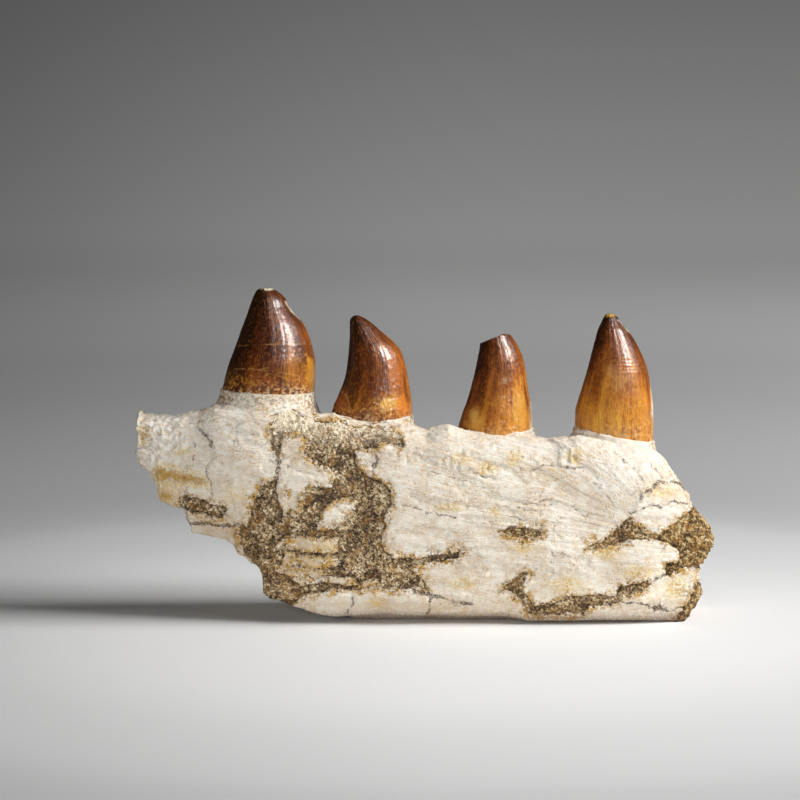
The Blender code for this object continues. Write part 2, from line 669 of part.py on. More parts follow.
def build_rocks(collection, helpers, material):
    skin = loft("skin_of_rocks", jaw_rings(ROCK_RECESS, SKIN_STEPS), helpers)
    core = loft("core_for_rocks", jaw_rings(POCKET_DEPTH - ROCK_GAP, CORE_STEPS), helpers)
    for inner, rocks in ((False, ROCKS), (True, BACK_ROCKS)):
        for name, spec in rocks.items():
            rock = rock_slab(name, spec, inner, -ROCK_GAP, collection, helpers)
            joined(rock, skin, "INTERSECT")
            joined(rock, core, "DIFFERENCE")
            for tooth in CROWNS:
                joined(rock, helpers.objects["socket_" + tooth], "DIFFERENCE")
            rock.data.materials.clear()
            rock.data.materials.append(material)


def build_teeth(collection, helpers, material):
    for tooth in CROWNS:
        crown = loft(tooth, crown_rings(tooth, 0.0), collection, material)
        cuts = [table[tooth] for table in (BROKEN_TIPS, CHIPS) if tooth in table]
        for number, outline in enumerate(cuts):
            chip = slab(f"chip_{tooth}_{number}", [traced_line(outline, CHIP_Y)], CHIP_REACH, helpers)
            joined(crown, chip, "DIFFERENCE")


def recentre(collection):
    """Moves every piece so that the bottom centre of the whole object's box is the origin."""
    corners = np.array([v.co for obj in collection.objects for v in obj.data.vertices])
    low, high = corners.min(axis=0), corners.max(axis=0)
    shift = [-(low[0] + high[0]) / 2, -(low[1] + high[1]) / 2, -low[2]]
    print("shift to the origin, in millimetres:", [round(s / MM, 3) for s in shift])
    for obj in collection.objects:
        obj.location = shift


def main():
    clear_scene()
    fossil = new_collection("mosasaur_jaw")
    helpers = new_collection("helpers", hidden=True)
    build_bone(fossil, helpers, new_material("bone", BONE_COLOUR, 0.85))
    build_rocks(fossil, helpers, new_material("rock", ROCK_COLOUR, 0.95))
    build_teeth(fossil, helpers, new_material("enamel", ENAMEL_COLOUR, 0.25))
    for helper in helpers.objects:
        helper.hide_render = True
        helper.display_type = "WIRE"
    for piece in fossil.objects:
        with_fewer_facets(piece)
        without_crumbs(piece)
    recentre(fossil)


main()
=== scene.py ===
"""Dresses the fossil mosasaur jaw: weathered bone, sandy rock in its gaps and glossy crowns.

Lengths are in millimetres until a mesh is made. The jaw's form is worked out from the same outlines as
the solid's, far more finely. The outlines were read off the picture of the outer face and are in its units:
traced() turns such a point into millimetres, and seen() turns a point of the form into those units.
"""

import itertools
import math

import bpy
import numpy as np
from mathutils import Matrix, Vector


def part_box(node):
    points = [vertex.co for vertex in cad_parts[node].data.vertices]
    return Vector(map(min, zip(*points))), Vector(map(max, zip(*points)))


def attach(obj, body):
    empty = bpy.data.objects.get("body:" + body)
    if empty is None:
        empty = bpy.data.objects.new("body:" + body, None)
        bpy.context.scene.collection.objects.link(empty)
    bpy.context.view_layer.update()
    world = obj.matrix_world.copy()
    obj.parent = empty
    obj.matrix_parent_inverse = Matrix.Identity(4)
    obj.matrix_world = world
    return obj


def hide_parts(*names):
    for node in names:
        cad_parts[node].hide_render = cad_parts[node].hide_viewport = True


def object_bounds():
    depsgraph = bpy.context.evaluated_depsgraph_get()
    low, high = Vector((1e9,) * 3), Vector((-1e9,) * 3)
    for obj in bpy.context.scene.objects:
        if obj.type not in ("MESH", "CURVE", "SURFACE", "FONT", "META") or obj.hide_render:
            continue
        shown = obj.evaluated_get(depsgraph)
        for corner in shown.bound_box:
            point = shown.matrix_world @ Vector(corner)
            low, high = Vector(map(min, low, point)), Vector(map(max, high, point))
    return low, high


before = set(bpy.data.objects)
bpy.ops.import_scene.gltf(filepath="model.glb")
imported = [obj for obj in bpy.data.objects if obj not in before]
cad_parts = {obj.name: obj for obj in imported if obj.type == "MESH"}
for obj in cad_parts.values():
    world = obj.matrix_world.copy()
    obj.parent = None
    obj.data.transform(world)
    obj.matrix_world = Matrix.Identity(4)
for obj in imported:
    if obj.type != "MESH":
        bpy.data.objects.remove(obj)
CAD_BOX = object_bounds()

MM = 0.001

# The picture: its units, how it was taken, and the unit that lies over the origin.
LENGTH = 240.0
PICTURE_SPAN = 579.0
UNIT = LENGTH / PICTURE_SPAN
EYE_DISTANCE = 1200.0
EYE_ELEVATION = math.radians(7.0)
PICTURE_MIDDLE = 400.0
PICTURE_WIDTH = 800
ORIGIN_ACROSS = 426.0
GROUND_LINE = 616.3
SENSOR = 36.0
EYE_COS, EYE_SIN = math.cos(EYE_ELEVATION), math.sin(EYE_ELEVATION)
# Where the line of sight through the picture's middle meets the plane Y = 0.
AIM_X = (PICTURE_MIDDLE - ORIGIN_ACROSS) * UNIT
AIM_Z = (GROUND_LINE - PICTURE_MIDDLE) * UNIT / EYE_COS

# The jaw's top and bottom edges, as (across, down) in picture units, and the Y of the planes they lie on.
TOP_LINE_Y, BOTTOM_LINE_Y = -10.0, -6.0
TOP_LINE = [
    (137, 414), (142, 415), (154, 416), (166, 416), (178, 415), (190, 412), (202, 410), (214, 404),
    (240, 403), (270, 405), (300, 409), (321, 414), (333, 413), (346, 417), (356, 420), (375, 422),
    (400, 423), (412, 426), (425, 429), (436, 426), (448, 424), (460, 428), (480, 431), (493, 433),
    (522, 435), (538, 437), (550, 438), (562, 436), (576, 435), (600, 439), (630, 444), (652, 449),
    (664, 457), (670, 467), (682, 484), (691, 496),
]
BOTTOM_LINE = [
    (137, 457), (142, 466), (148, 470), (154, 479), (158, 489), (160, 501), (168, 506), (183, 508),
    (186, 519), (191, 531), (205, 533), (224, 537), (234, 541), (237, 549), (246, 556), (256, 562),
    (261, 569), (263, 589), (268, 594), (292, 601), (304, 604), (316, 608), (330, 611), (345, 612),
]
FOOT_START, FOOT_END = 354, 684
HEEL = [(684, 616), (691, 611)]

# The jaw's thickness, and how far its middle plane stands behind Y = 0, in millimetres, along the picture.
THICKNESS = [
    (137, 29), (170, 33), (215, 39), (262, 45), (330, 50), (420, 52), (560, 52), (640, 49), (691, 40),
]
SETBACK = [(137, 3.0), (215, 1.0), (300, 0.0), (560, 0.0), (691, 1.5)]

# One section of the jaw as (share of the half thickness, share of the height), from the middle of the foot
# round by the outer face and the top. Below FLAT_BELOW it is flat.
SECTION = [
    (0.00, 0.00), (-0.36, 0.00), (-0.66, 0.00), (-0.89, 0.08), (-1.00, 0.25), (-1.00, 0.50), (-0.96, 0.72),
    (-0.85, 0.91), (-0.58, 1.00), (-0.20, 0.985), (0.22, 0.945), (0.62, 0.88), (0.88, 0.72), (0.99, 0.50),
    (0.97, 0.25), (0.82, 0.07), (0.56, 0.00), (0.28, 0.00),
]
SECTION_SCALE = (25.0, 76.0)
FRONT_SEGMENTS = range(1, 10)
FLAT_BELOW = 0.012

# The foot's outer edge is worn up by FRONT_LIFT on the left. Over FOOT_CHANGE it comes down to the ground
# and steps out by FOOT_REACH of the half thickness. Both fade out at a share of the height.
FRONT_LIFT, LIFT_FROM, LIFT_OVER, LIFT_HEIGHT = 3.0, 0.36, 0.35, 0.25
FOOT_REACH, REACH_FROM, REACH_HEIGHT = 0.12, 0.3, 0.1
FOOT_CHANGE = (505, 525)

# The broken ends: how far along the picture each reaches, at each height down it. Over END_BLEND the rings
# bend to the left one, and CAP_DEPTHS are how far back the end lies at each share of the ring.
LEFT_END = [(414, 138.5), (426, 138), (436, 140), (443, 139), (452, 136.5), (466, 137)]
RIGHT_END = [
    (496, 692), (512, 701), (525, 711), (537, 715), (546, 711), (556, 703), (564, 698), (572, 698),
    (590, 702), (600, 698), (612, 690),
]
END_BLEND = 12.0
CAP_DEPTHS = [(0.0, 0.9), (0.28, 0.9), (0.62, 0.4), (0.90, 1.6)]
BEVEL_SHARE, BEVEL_RINGS, CAP_RINGS = 0.9, 22, 52
LEFT_CAP_SHARE = 0.4
CAP_ROUGHNESS, CAP_ROUGH_SIZE = 0.8, 7.0
# The notches of the broken ends push the form inward, all of it to the left of the first of these places
# along the picture and to the right of the second. They start over NOTCH_FADE millimetres.
NOTCHED = (414, 612)
NOTCH_FADE = 3.0

# Swellings and hollows of the outer face: (across, down, half width, half height, millimetres out).
SWELLS = [
    (470, 500, 80, 45, 0.9), (585, 512, 42, 26, -1.9), (560, 552, 55, 11, 1.0), (640, 560, 36, 16, 0.9),
    (612, 475, 30, 20, 0.8), (240, 470, 32, 30, 1.0), (160, 440, 30, 26, -1.0), (205, 520, 26, 14, -1.4),
    (640, 604, 60, 10, 1.6), (400, 602, 70, 9, 1.4), (305, 560, 40, 22, -1.2), (355, 520, 22, 50, -1.0),
]
BACK_SWELLS = [
    (430, 520, 150, 12, -2.6), (430, 485, 150, 16, 1.0), (470, 575, 120, 16, 1.2), (220, 455, 40, 25, -1.2),
    (620, 500, 40, 25, -1.6), (330, 560, 40, 20, -1.4),
]
FACE_Y = 24.0
FACE_FROM, FACE_OVER = 0.45, 0.4
BACK_ROUGHNESS, TOP_ROUGHNESS = 1.6, 0.8
TOP_FROM, TOP_OVER = 30.0, 20.0
GROUND_FADE = 5.0
FOOT_WEAR = 1.7

# Roughness of the surfaces, as (size, amount) in millimetres, from the large to the fine. The wobble of the
# drawn outlines is in picture units.
ROUGHNESS = [(26.0, 0.55), (9.0, 0.24)]
BONE_GRAIN = [(5.0, 0.08), (1.2, 0.07)]
BONE_CRUMBS = [(1.7, 0.42), (0.9, 0.3)]
END_GRAIN = [(2.4, 0.35), (1.1, 0.25)]
END_NOTCHES = [(3.2, 1.3), (1.3, 0.8)]
COLLAR_GRAIN = [(3.0, 0.25), (1.2, 0.2), (0.6, 0.1)]
ROCK_LUMPS = [(1.9, 0.36), (0.95, 0.30), (0.55, 0.18)]
CROWN_BASE_GRAIN = [(1.3, 0.5), (0.7, 0.45)]
EDGE_WOBBLE = [(7.0, 1.5), (2.6, 0.9), (1.2, 0.5)]
ROCK_END_WOBBLE = [(3.0, 0.6), (1.2, 0.3)]

# How finely the bone is drawn: the step between rings, along the outer face and top, and elsewhere.
BONE_STEPS = (0.46, 0.46, 1.35)
BONE_TRIANGLES = 188000
ROCK_STEP, ROCK_BACK_STEP = 0.36, 1.2
ROCK_SPARE = 2.5

# Sandy rock in the gaps of the bone, as outlines in picture units with islands of bone in them. "reach" is
# how far behind Y = 0 each goes, "end" bounds the two that wrap round the right end, as (y, z), and "back"
# marks the one on the inner face. "tint" is 0 for brown sand and 1 for straw, "recess" is how far the rock
# lies back, and "rough" makes its lumps larger.
ROCKS = {
    "rock_centre": {
        "outline": [
            (273, 418), (285, 411), (294, 410), (300, 417), (312, 419), (322, 424), (337, 421),
            (356, 427), (372, 427), (386, 431), (401, 436), (402, 446), (389, 443), (378, 441),
            (374, 447), (358, 449), (352, 452), (354, 462), (363, 474), (374, 479), (387, 486),
            (391, 495), (390, 504), (385, 510), (385, 520), (383, 530), (380, 544), (383, 553),
            (397, 559), (430, 557), (448, 554.5), (461, 551), (457, 558), (434, 562), (414, 563),
            (408, 568), (413, 573), (422, 578), (430, 591), (419, 586), (407, 588), (380, 589),
            (356, 590), (330, 590), (313, 592), (301, 596), (288, 608), (252, 608), (252, 574),
            (253, 562), (244, 552), (240, 538), (241, 525), (247, 528), (252, 517), (251, 508),
            (257, 497), (266, 483), (276, 480), (283, 486), (285, 492), (286, 508), (290, 517),
            (297, 517), (303, 511), (304, 497), (306, 491), (318, 487), (331, 490), (335, 478),
            (330, 467), (315, 461), (305, 452), (306, 437), (302, 430), (281, 433), (279, 449),
            (274, 449), (272, 435),
        ],
        "islands": [
            [
                (321, 511), (330, 503), (342, 498), (361, 501), (351, 512), (343, 522), (335, 528),
                (326, 532), (317, 529), (319, 519),
            ],
            [
                (288, 541), (298, 535), (318, 537), (337, 538), (338, 551), (330, 554), (308, 551),
                (286, 549),
            ],
            [(284, 552), (312, 557), (337, 558), (339, 564), (325, 569), (308, 567), (280, 564)],
            [(273, 565), (300, 568), (330, 572), (325, 576), (289, 577), (276, 572)],
            [(286, 579), (319, 578), (352, 578), (355, 583), (347, 586), (319, 582), (301, 585)],
            [(270, 551), (280, 540), (297, 531), (288, 540), (275, 553)],
            [(357, 583), (366, 580), (379, 579), (378, 586), (364, 589), (355, 588)],
            [(276, 476), (286, 482), (290, 492), (290, 510), (283, 515), (278, 503), (274, 494)],
        ],
        "reach": 6.0, "tint": 0.25, "recess": 0.9,
    },
    "rock_left": {
        "outline": [
            (178, 500), (188, 498.5), (199, 501), (207, 504.5), (221, 506), (223.5, 511), (221.5, 517),
            (214, 517), (202, 514), (188, 512), (180, 507),
        ],
        "reach": -4.0, "tint": 0.1, "recess": 1.1,
    },
    "rock_lower_seam": {
        "outline": [
            (504, 588), (512, 583), (519, 576), (528, 572.5), (522, 583), (522, 592), (528, 601),
            (534, 608.5), (545, 605.5), (556, 603), (563, 598), (584, 595), (602, 595), (616, 597),
            (621, 588), (632, 585), (648, 581.5), (650, 587), (633, 591), (623, 595), (619, 604),
            (602, 605), (588, 607), (585, 613.5), (560, 613), (530, 616), (522, 611), (525, 605),
            (517, 594), (510, 590),
        ],
        "reach": -15.0, "tint": 0.35, "recess": 0.5,
    },
    "rock_upper_seam": {
        "outline": [
            (585, 552), (594, 543), (604, 540), (614, 534), (624, 523.5), (630, 518.5), (637, 525.5),
            (646, 532.5), (661, 535), (661, 538), (646, 538), (634, 539), (619, 542.5), (606, 546),
        ],
        "reach": -6.0, "tint": 0.6, "recess": 0.7,
    },
    "rock_lens": {
        "outline": [
            (501, 533), (509, 528), (517, 526.8), (526, 527.5), (541, 531), (541.5, 535), (532, 538),
            (522, 539.5), (509, 536),
        ],
        "reach": -8.0, "tint": 0.7, "recess": 0.7,
    },
    "rock_end": {
        "outline": [
            (660, 539), (672, 527), (681, 519), (691, 517), (693, 509), (700, 500), (740, 500), (740, 567),
            (700, 567), (688, 568), (680, 568), (668, 575), (665, 564), (678, 562), (680, 553), (672, 545),
        ],
        "reach": 40.0, "tint": 1.0, "recess": 0.9, "rough": 2.3,
        "end": [
            (-70, 10), (-17, 12), (-9, 23), (0, 21), (7, 27), (12, 33), (10, 40), (13, 45), (5, 50),
            (-4, 47), (-12, 57), (-70, 62),
        ],
    },
    "rock_heel": {
        "outline": [(699, 583), (720, 583), (720, 626), (677, 626), (679, 614), (687, 607), (694, 597)],
        "reach": 40.0, "tint": 0.8, "recess": 0.6,
        "end": [(-70, -9), (-2, -9), (4, 3), (0, 7), (5, 11), (-4, 13), (-12, 20), (-70, 26)],
    },
    "rock_back": {
        "outline": [
            (318, 500), (352, 486), (384, 478), (398, 490), (392, 516), (412, 540), (436, 551), (428, 568),
            (396, 566), (372, 580), (334, 584), (300, 577), (292, 552), (306, 538), (303, 516),
        ],
        "islands": [[(336, 524), (356, 514), (368, 522), (362, 544), (344, 552), (330, 542)]],
        "reach": 6.0, "tint": 0.4, "recess": 0.8, "back": True,
    },
}
POCKET_DEPTH = 3.0
ROCK_BACK = 3.4
# In picture units: how much larger the islands are, and how far off a patch its depth is worked out.
ISLAND_GROWTH = 0.9
ROCK_MARGIN = 12.0

# Tooth crowns, each as levels of (down, left edge, right edge) in picture units from the tip to the base,
# its depth as a share of its width, how far its middle stands behind Y = 0, and its lean back at the tip.
CROWNS = {
    "tooth_1": {
        "levels": [
            (288, 260, 271), (291, 256.5, 277), (298, 253, 285), (306, 250, 290), (315, 247, 297),
            (324, 243.5, 303.5), (344, 236.5, 311.5), (367, 228, 315.5), (386, 223.5, 315), (394, 222, 314),
        ],
        "depth": 0.80, "setback": 1.5, "lean": 3.0,
    },
    "tooth_2": {
        "levels": [
            (316, 353.5, 360), (319, 350.5, 366), (325, 350, 374), (333, 350, 383), (345, 349.3, 396.5),
            (355, 348.5, 402.5), (375, 345.8, 407.5), (393, 339.5, 410.5), (407, 333.5, 412),
            (419, 330.5, 412),
        ],
        "depth": 0.78, "setback": 0.5, "lean": 4.0,
    },
    "tooth_3": {
        "levels": [
            (334, 480, 510.5), (339, 480.5, 513.5), (346, 480, 518), (358, 477.8, 523), (372, 475, 526),
            (388, 471, 528), (402, 466.8, 530.5), (414, 462.3, 532), (427, 458.7, 533), (436, 457.5, 533.5),
        ],
        "depth": 0.82, "setback": 0.5, "lean": 2.5,
    },
    "tooth_4": {
        "levels": [
            (314.5, 605.5, 614), (317, 604, 617.5), (321, 602, 620.5), (330, 598, 628),
            (342, 594.7, 635.6), (355, 591.2, 642.1), (370, 587.5, 647.6), (383, 583.6, 650),
            (399, 578.7, 652.3), (412, 575.4, 653.2), (425, 575.2, 653.4), (436, 576, 652.8),
        ],
        "depth": 0.78, "setback": 1.0, "lean": 3.0,
    },
}
KEEL = 0.035
LEAN_POWER = 1.6
TIP_ROUNDNESS = 0.6
CROWN_ROUND, CROWN_RISE = 200, 150
CROWN_ROOT = 4.5
TIP_RISE = 0.12

# Collars of old root that carry the crowns: the edges of the collar's top and of its foot, and its depth.
COLLARS = {
    "tooth_1": {"top": ((220.5, 389), (314.8, 392)), "foot": ((211, 408), (325, 420)), "depth": 0.86},
    "tooth_2": {"top": ((334.5, 421), (413.0, 415)), "foot": ((331, 434), (428, 434)), "depth": 0.80},
    "tooth_3": {"top": ((462.0, 434), (534.8, 428)), "foot": ((455, 444), (541, 444)), "depth": 0.84},
    "tooth_4": {"top": ((573.2, 427), (654.6, 441)), "foot": ((557, 444), (664, 462)), "depth": 0.84},
}
COLLAR_FALL = 3.0
COLLAR_FOOT = -1.3
COLLAR_ROUND, COLLAR_RISE = 220, 60
COLLAR_LIP = [
    (0.97, 0.28), (0.94, 0.35), (0.90, 0.3), (0.87, 0.0), (0.86, -1.5), (0.86, -4.0), (0.86, -7.0),
]
SEAT_DEPTH = 6.0

# Plates of bone that stand out or lie back, as (millimetres out, outline in picture units).
PLATES = [
    (-0.8, [
        (120, 395), (197, 400), (200, 420), (204, 436), (210, 442), (213, 456), (206, 466), (208, 475),
        (211, 495), (206, 505), (120, 505),
    ]),
    (0.35, [
        (647, 486), (658, 482), (680, 483), (690, 492), (705, 505), (690, 506), (675, 502), (662, 507),
        (650, 506), (634, 513), (629, 518), (637, 505),
    ]),
    (0.5, [
        (529, 573), (545, 566), (585, 553), (606, 547), (634, 540), (660, 540), (672, 546), (680, 554),
        (677, 563), (664, 565), (667, 575), (648, 581), (632, 584), (621, 588), (616, 596), (601, 594),
        (584, 594), (563, 597), (556, 602), (545, 605), (534, 608), (528, 600), (522, 591), (523, 583),
    ]),
    (0.4, [
        (650, 587), (667, 577), (690, 570), (700, 583), (692, 598), (686, 606), (678, 614), (667, 613),
        (663, 607), (651, 603), (640, 607), (600, 616), (586, 614), (588, 608), (603, 606), (620, 604),
        (624, 595), (634, 591),
    ]),
    (0.3, [
        (352, 451), (359, 449), (376, 445), (375, 478), (363, 474), (353, 461),
    ]),
    (0.4, [
        (290, 598), (330, 592), (380, 590), (430, 592), (470, 597), (505, 593), (515, 604), (524, 614),
        (524, 630), (280, 630),
    ]),
    (-0.6, [
        (184, 523), (200, 526), (236, 526), (248, 530), (244, 552), (252, 566), (180, 566),
    ]),
    (0.3, [
        (502, 541), (523, 541), (543, 538), (566, 556), (600, 575), (585, 590), (540, 562), (520, 556),
    ]),
]
# Cracks as (width, strength, line), all but the strength in picture units.
CRACKS = [
    (2.0, 1.0, [
        (277, 414), (276, 428), (273, 443), (276, 451), (279, 461), (278, 470), (276, 480), (274, 490),
        (273, 498), (261, 514), (260, 530), (256, 550), (258, 562),
    ]),
    (1.4, 1.0, [(373, 441), (376, 452), (376, 459), (374, 467), (374, 477)]),
    (1.6, 0.6, [(199, 405), (199, 426), (204, 436), (210, 442), (213, 455), (212, 464)]),
    (1.2, 0.5, [(204, 465), (207, 472), (210, 484), (211, 494)]),
    (1.2, 0.5, [(195, 442), (193, 453), (193, 465)]),
    (1.2, 0.5, [(392, 503), (409, 506), (422, 511), (438, 514), (455, 518)]),
    (1.2, 0.45, [(467, 470), (485, 477), (507, 484)]),
    (1.3, 0.5, [(616, 455), (627, 463), (638, 473), (647, 486)]),
    (1.6, 0.75, [(640, 500), (644, 494), (651, 489), (658, 482), (668, 483), (680, 484), (687, 491)]),
    (1.5, 0.6, [(630, 514), (634, 513), (650, 505), (662, 506), (675, 501), (690, 505)]),
    (1.3, 0.9, [(349, 590), (353, 598), (352, 606), (348, 613)]),
    (1.2, 0.85, [(429, 592), (430, 600), (428, 613)]),
    (1.4, 0.5, [(531, 472), (544, 465), (557, 465), (569, 468), (583, 468)]),
    (1.3, 0.4, [(543, 517), (541, 527), (544, 536), (553, 555)]),
    (1.5, 0.85, [(186, 524), (205, 523), (224, 525), (238, 525), (246, 530)]),
    (1.1, 0.4, [(550, 561), (557, 556), (562, 553), (569, 557)]),
    (1.2, 0.6, [(648, 584), (664, 577), (672, 574)]),
    (1.3, 0.6, [(590, 606), (612, 602), (640, 603), (668, 611), (690, 606)]),
    (1.3, 0.4, [(503, 508), (520, 502), (545, 507), (560, 503)]),
    (1.3, 0.45, [(288, 465), (296, 470), (309, 473), (326, 471)]),
    (1.2, 0.6, [(461, 551), (475, 548)]),
    (1.1, 0.4, [(235, 418), (236, 432), (234, 446)]),
    (1.9, 1.0, [(413, 590), (430, 595), (445, 599), (458, 602), (471, 604)]),
    (1.1, 0.5, [(514, 506), (528, 510), (540, 514)]),
    (1.1, 0.5, [(506, 515), (520, 519), (536, 521)]),
    (1.0, 0.4, [(520, 500), (536, 503), (552, 500)]),
    (1.0, 0.4, [(566, 500), (578, 511), (590, 524)]),
    (1.0, 0.4, [(590, 478), (604, 492), (616, 508)]),
    (1.0, 0.35, [(556, 520), (572, 534), (584, 542)]),
    (1.0, 0.35, [(604, 470), (618, 482), (628, 496)]),
    (1.0, 0.4, [(430, 472), (462, 480), (494, 492)]),
    (1.2, 0.5, [(246, 496), (262, 500)]),
    (1.3, 0.6, [(283, 541), (300, 534), (320, 535)]),
    (1.2, 0.4, [(650, 462), (662, 478), (668, 482)]),
]
CRACK_DEPTH, CRACK_MARGIN = 0.55, 6.0
# Layers of bone that have flaked off in places, as (length, width, thickness) in millimetres.
FLAKES = [(22.0, 3.4, 0.3), (9.0, 2.0, 0.24), (34.0, 8.0, 0.38)]
# Stains of each kind as (across, down, half width, half height, strength). One of the pale ones is painted
# light that brightens the left end, and one of the brownish ones is painted shade along the lower lip.
STAINS = {
    "ochre": [
        (166, 474, 12, 9, 1.3), (186, 478, 12, 7, 1.3), (200, 482, 9, 6, 1.0), (166, 496, 10, 8, 1.3),
        (143, 436, 6, 9, 1.0), (180, 452, 14, 5, 0.5), (160, 478, 5, 8, 0.8), (486, 468, 10, 6, 1.0),
        (462, 459, 9, 5, 0.8), (514, 457, 9, 9, 0.8), (576, 456, 8, 7, 1.0), (494, 511, 6, 7, 0.8),
        (450, 508, 14, 4, 0.8), (608, 552, 16, 9, 0.8), (565, 585, 18, 8, 0.8), (640, 572, 20, 6, 0.7),
        (524, 548, 18, 6, 0.6), (462, 584, 14, 7, 0.7), (322, 556, 20, 18, 0.7), (660, 492, 18, 6, 0.6),
        (676, 588, 12, 12, 0.8), (545, 522, 3, 2, 1.5), (594, 536, 3, 2, 1.5), (541, 612, 3, 2, 1.3),
        (376, 602, 8, 4, 0.7), (340, 604, 6, 5, 0.4), (236, 496, 20, 10, 0.4),
    ],
    "white_and_light": [
        # The first patch, on the left end, is painted light as well as pale bone.
        (160, 440, 26, 28, 1.2), (232, 430, 30, 22, 0.5), (340, 514, 16, 14, 1.0),
        (364, 462, 10, 12, 0.6), (300, 418, 30, 8, 0.3), (620, 470, 50, 20, 0.5), (560, 448, 80, 12, 0.5),
        (640, 515, 40, 16, 0.3),
    ],
    # The long patch along the lower lip, at (400, 606), is painted shade where the bone curves in below;
    # the others tint the bone.
    "tan": [
        (305, 552, 36, 34, 0.5), (215, 535, 40, 20, 0.5), (240, 490, 30, 24, 0.2), (400, 606, 70, 8, 0.5),
        (168, 460, 30, 30, 0.2),
    ],
    "crumbs": [
        (158, 440, 28, 26, 1.7), (172, 488, 26, 16, 1.5), (276, 440, 7, 40, 0.9), (690, 585, 14, 24, 0.8),
        (340, 514, 16, 14, 0.6), (680, 500, 14, 12, 0.7), (225, 540, 40, 10, 0.6),
        (530, 515, 34, 14, 0.6), (545, 545, 22, 8, 0.6),
    ],
    "sand": [
        (656, 608, 9, 5, 1.4), (691, 590, 9, 14, 0.9), (281, 428, 8, 16, 0.9), (563, 555, 4, 2, 0.9),
        (462, 603, 9, 2.5, 1.2), (545, 548, 5, 2, 0.8), (275, 455, 4, 14, 0.9), (196, 522, 12, 3, 0.9),
        (187, 531, 5, 5, 0.9), (545, 440, 5, 2, 1.0), (640, 497, 7, 8, 0.7), (684, 486, 6, 5, 1.0),
        (226, 400, 10, 9, 1.0), (250, 394, 20, 4, 0.8), (376, 455, 4, 10, 0.5), (150, 440, 14, 22, 0.5),
        (206, 440, 8, 22, 0.4),
    ],
}
# Where the fibres of the bone turn: (across, their fall per length towards the right).
FIBRES = [(137, 0.03), (330, 0.10), (400, 0.2), (540, 0.25), (580, 0.7), (630, 1.2), (660, 0.9), (700, 0.5)]

# How a crown's colour changes. "shade" is 0 for amber and 1 for near black, as (at the base, more with
# height, more with its cube, less to the right, more at the upper left). The last two are painted light and
# shade: the crowns are painted lighter on the right and darker on the left, away from the light.
# "patches" are (across, down, half width, half height, colour, strength), and "lines" are (width, points):
# pale chips if wide, or hairlines.
ENAMEL_TONES = [
    (0.0, (224, 164, 64)), (0.22, (198, 130, 44)), (0.48, (146, 80, 28)), (0.75, (82, 36, 14)),
    (1.0, (34, 14, 8)),
]
CREAM, AMBER, YELLOW, RUST = (236, 220, 190), (206, 138, 44), (214, 168, 84), (158, 78, 28)
BROKEN = (138, 92, 56)
# The gold of the crowns' bases is partly painted glints.
DUST, GRIT, HAIRLINE, GOLD_AND_GLINT = (196, 172, 132), (70, 40, 20), (196, 142, 82), (212, 152, 60)
ENAMEL = {
    "tooth_1": {
        "shade": (0.61, 0.16, 0.06, 0.06, 0.50),
        "patches": [
            (267, 288, 10, 2.2, CREAM, 1.0), (311, 376, 6, 20, (208, 146, 44), 0.65),
            (293, 366, 14, 14, AMBER, 0.25), (262, 382, 24, 9, RUST, 0.3),
        ],
        "lines": [
            (0.6, (236, 346), (262, 344.5), (285, 344), (312, 344)),
            (0.5, (262, 369), (274, 366), (288, 362), (302, 357), (314, 350)),
            (0.5, (234, 369), (252, 369), (270, 371), (290, 374), (303, 378), (316, 379)),
            (1.2, (286, 302), (291, 310), (302, 320)),
        ],
        "sand": 0.9,
    },
    "tooth_2": {
        "shade": (0.49, 0.20, 0.12, 0.07, 0.45),
        "patches": [
            (385, 404, 11, 9, YELLOW, 0.9), (406, 408, 7, 14, (206, 106, 30), 0.7),
            (341, 404, 6, 12, RUST, 0.6), (396, 372, 8, 20, (186, 104, 36), 0.5),
        ],
        "lines": [(0.8, (340, 391), (346, 394), (349, 404), (350, 415))],
        "sand": 0.45,
    },
    "tooth_3": {
        "shade": (0.22, 0.40, 0.07, 0.04, 0.42),
        "patches": [
            (476, 418, 6, 12, YELLOW, 0.9), (518, 414, 7, 18, (204, 148, 60), 0.8),
            (497, 418, 12, 12, RUST, 0.5), (505, 380, 5, 4, DUST, 0.45), (532, 422, 3.5, 18, CREAM, 1.0),
            (503, 397, 5, 3, DUST, 0.4),
        ],
        "lines": [],
        "sand": 0.4,
    },
    "tooth_4": {
        "shade": (0.17, 0.28, 0.34, -0.13, 0.46),
        "patches": [
            (610, 315, 7, 2.2, YELLOW, 1.0), (653, 405, 2.2, 24, CREAM, 1.0),
            (622, 378, 16, 16, (206, 160, 104), 0.3), (640, 436, 14, 4, AMBER, 0.6),
        ],
        "lines": [
            (0.8, (612, 412), (634, 406), (652, 404)),
            (0.9, (575, 428), (600, 432), (630, 437), (652, 440)),
            (1.6, (620, 320), (624, 325), (629, 332)),
        ],
        "sand": 0.4,
    },
}
SHADE_CLOUDS = [(7.0, 0.10), (2.0, 0.07), (0.8, 0.07)]
PATCH_EDGES = [(2.5, 0.4), (0.9, 0.3)]
GRIT_GRAINS = [(0.9, 0.7), (0.5, 0.6)]
STREAK_RADIUS = 8.0
# Where a crown's tip is broken off, as (across, down), where its right edge is chipped, as (down, across),
# and the growth lines round it, as (down, spread).
BROKEN_TIP = {
    "tooth_3": [(460, 349), (480, 343.5), (488, 340.5), (497, 337), (503, 334.3), (510, 335), (516, 341)],
}
CHIPS = {
    "tooth_1": [(302, 287.5), (303.5, 287), (309, 291), (315, 295.6), (319.5, 301), (321, 320)],
    "tooth_4": [(319, 622), (320, 619.5), (323, 621.6), (328.5, 625.8), (331, 628.6), (332.5, 640)],
}
GROWTH_LINES = {"tooth_4": (366, 11)}

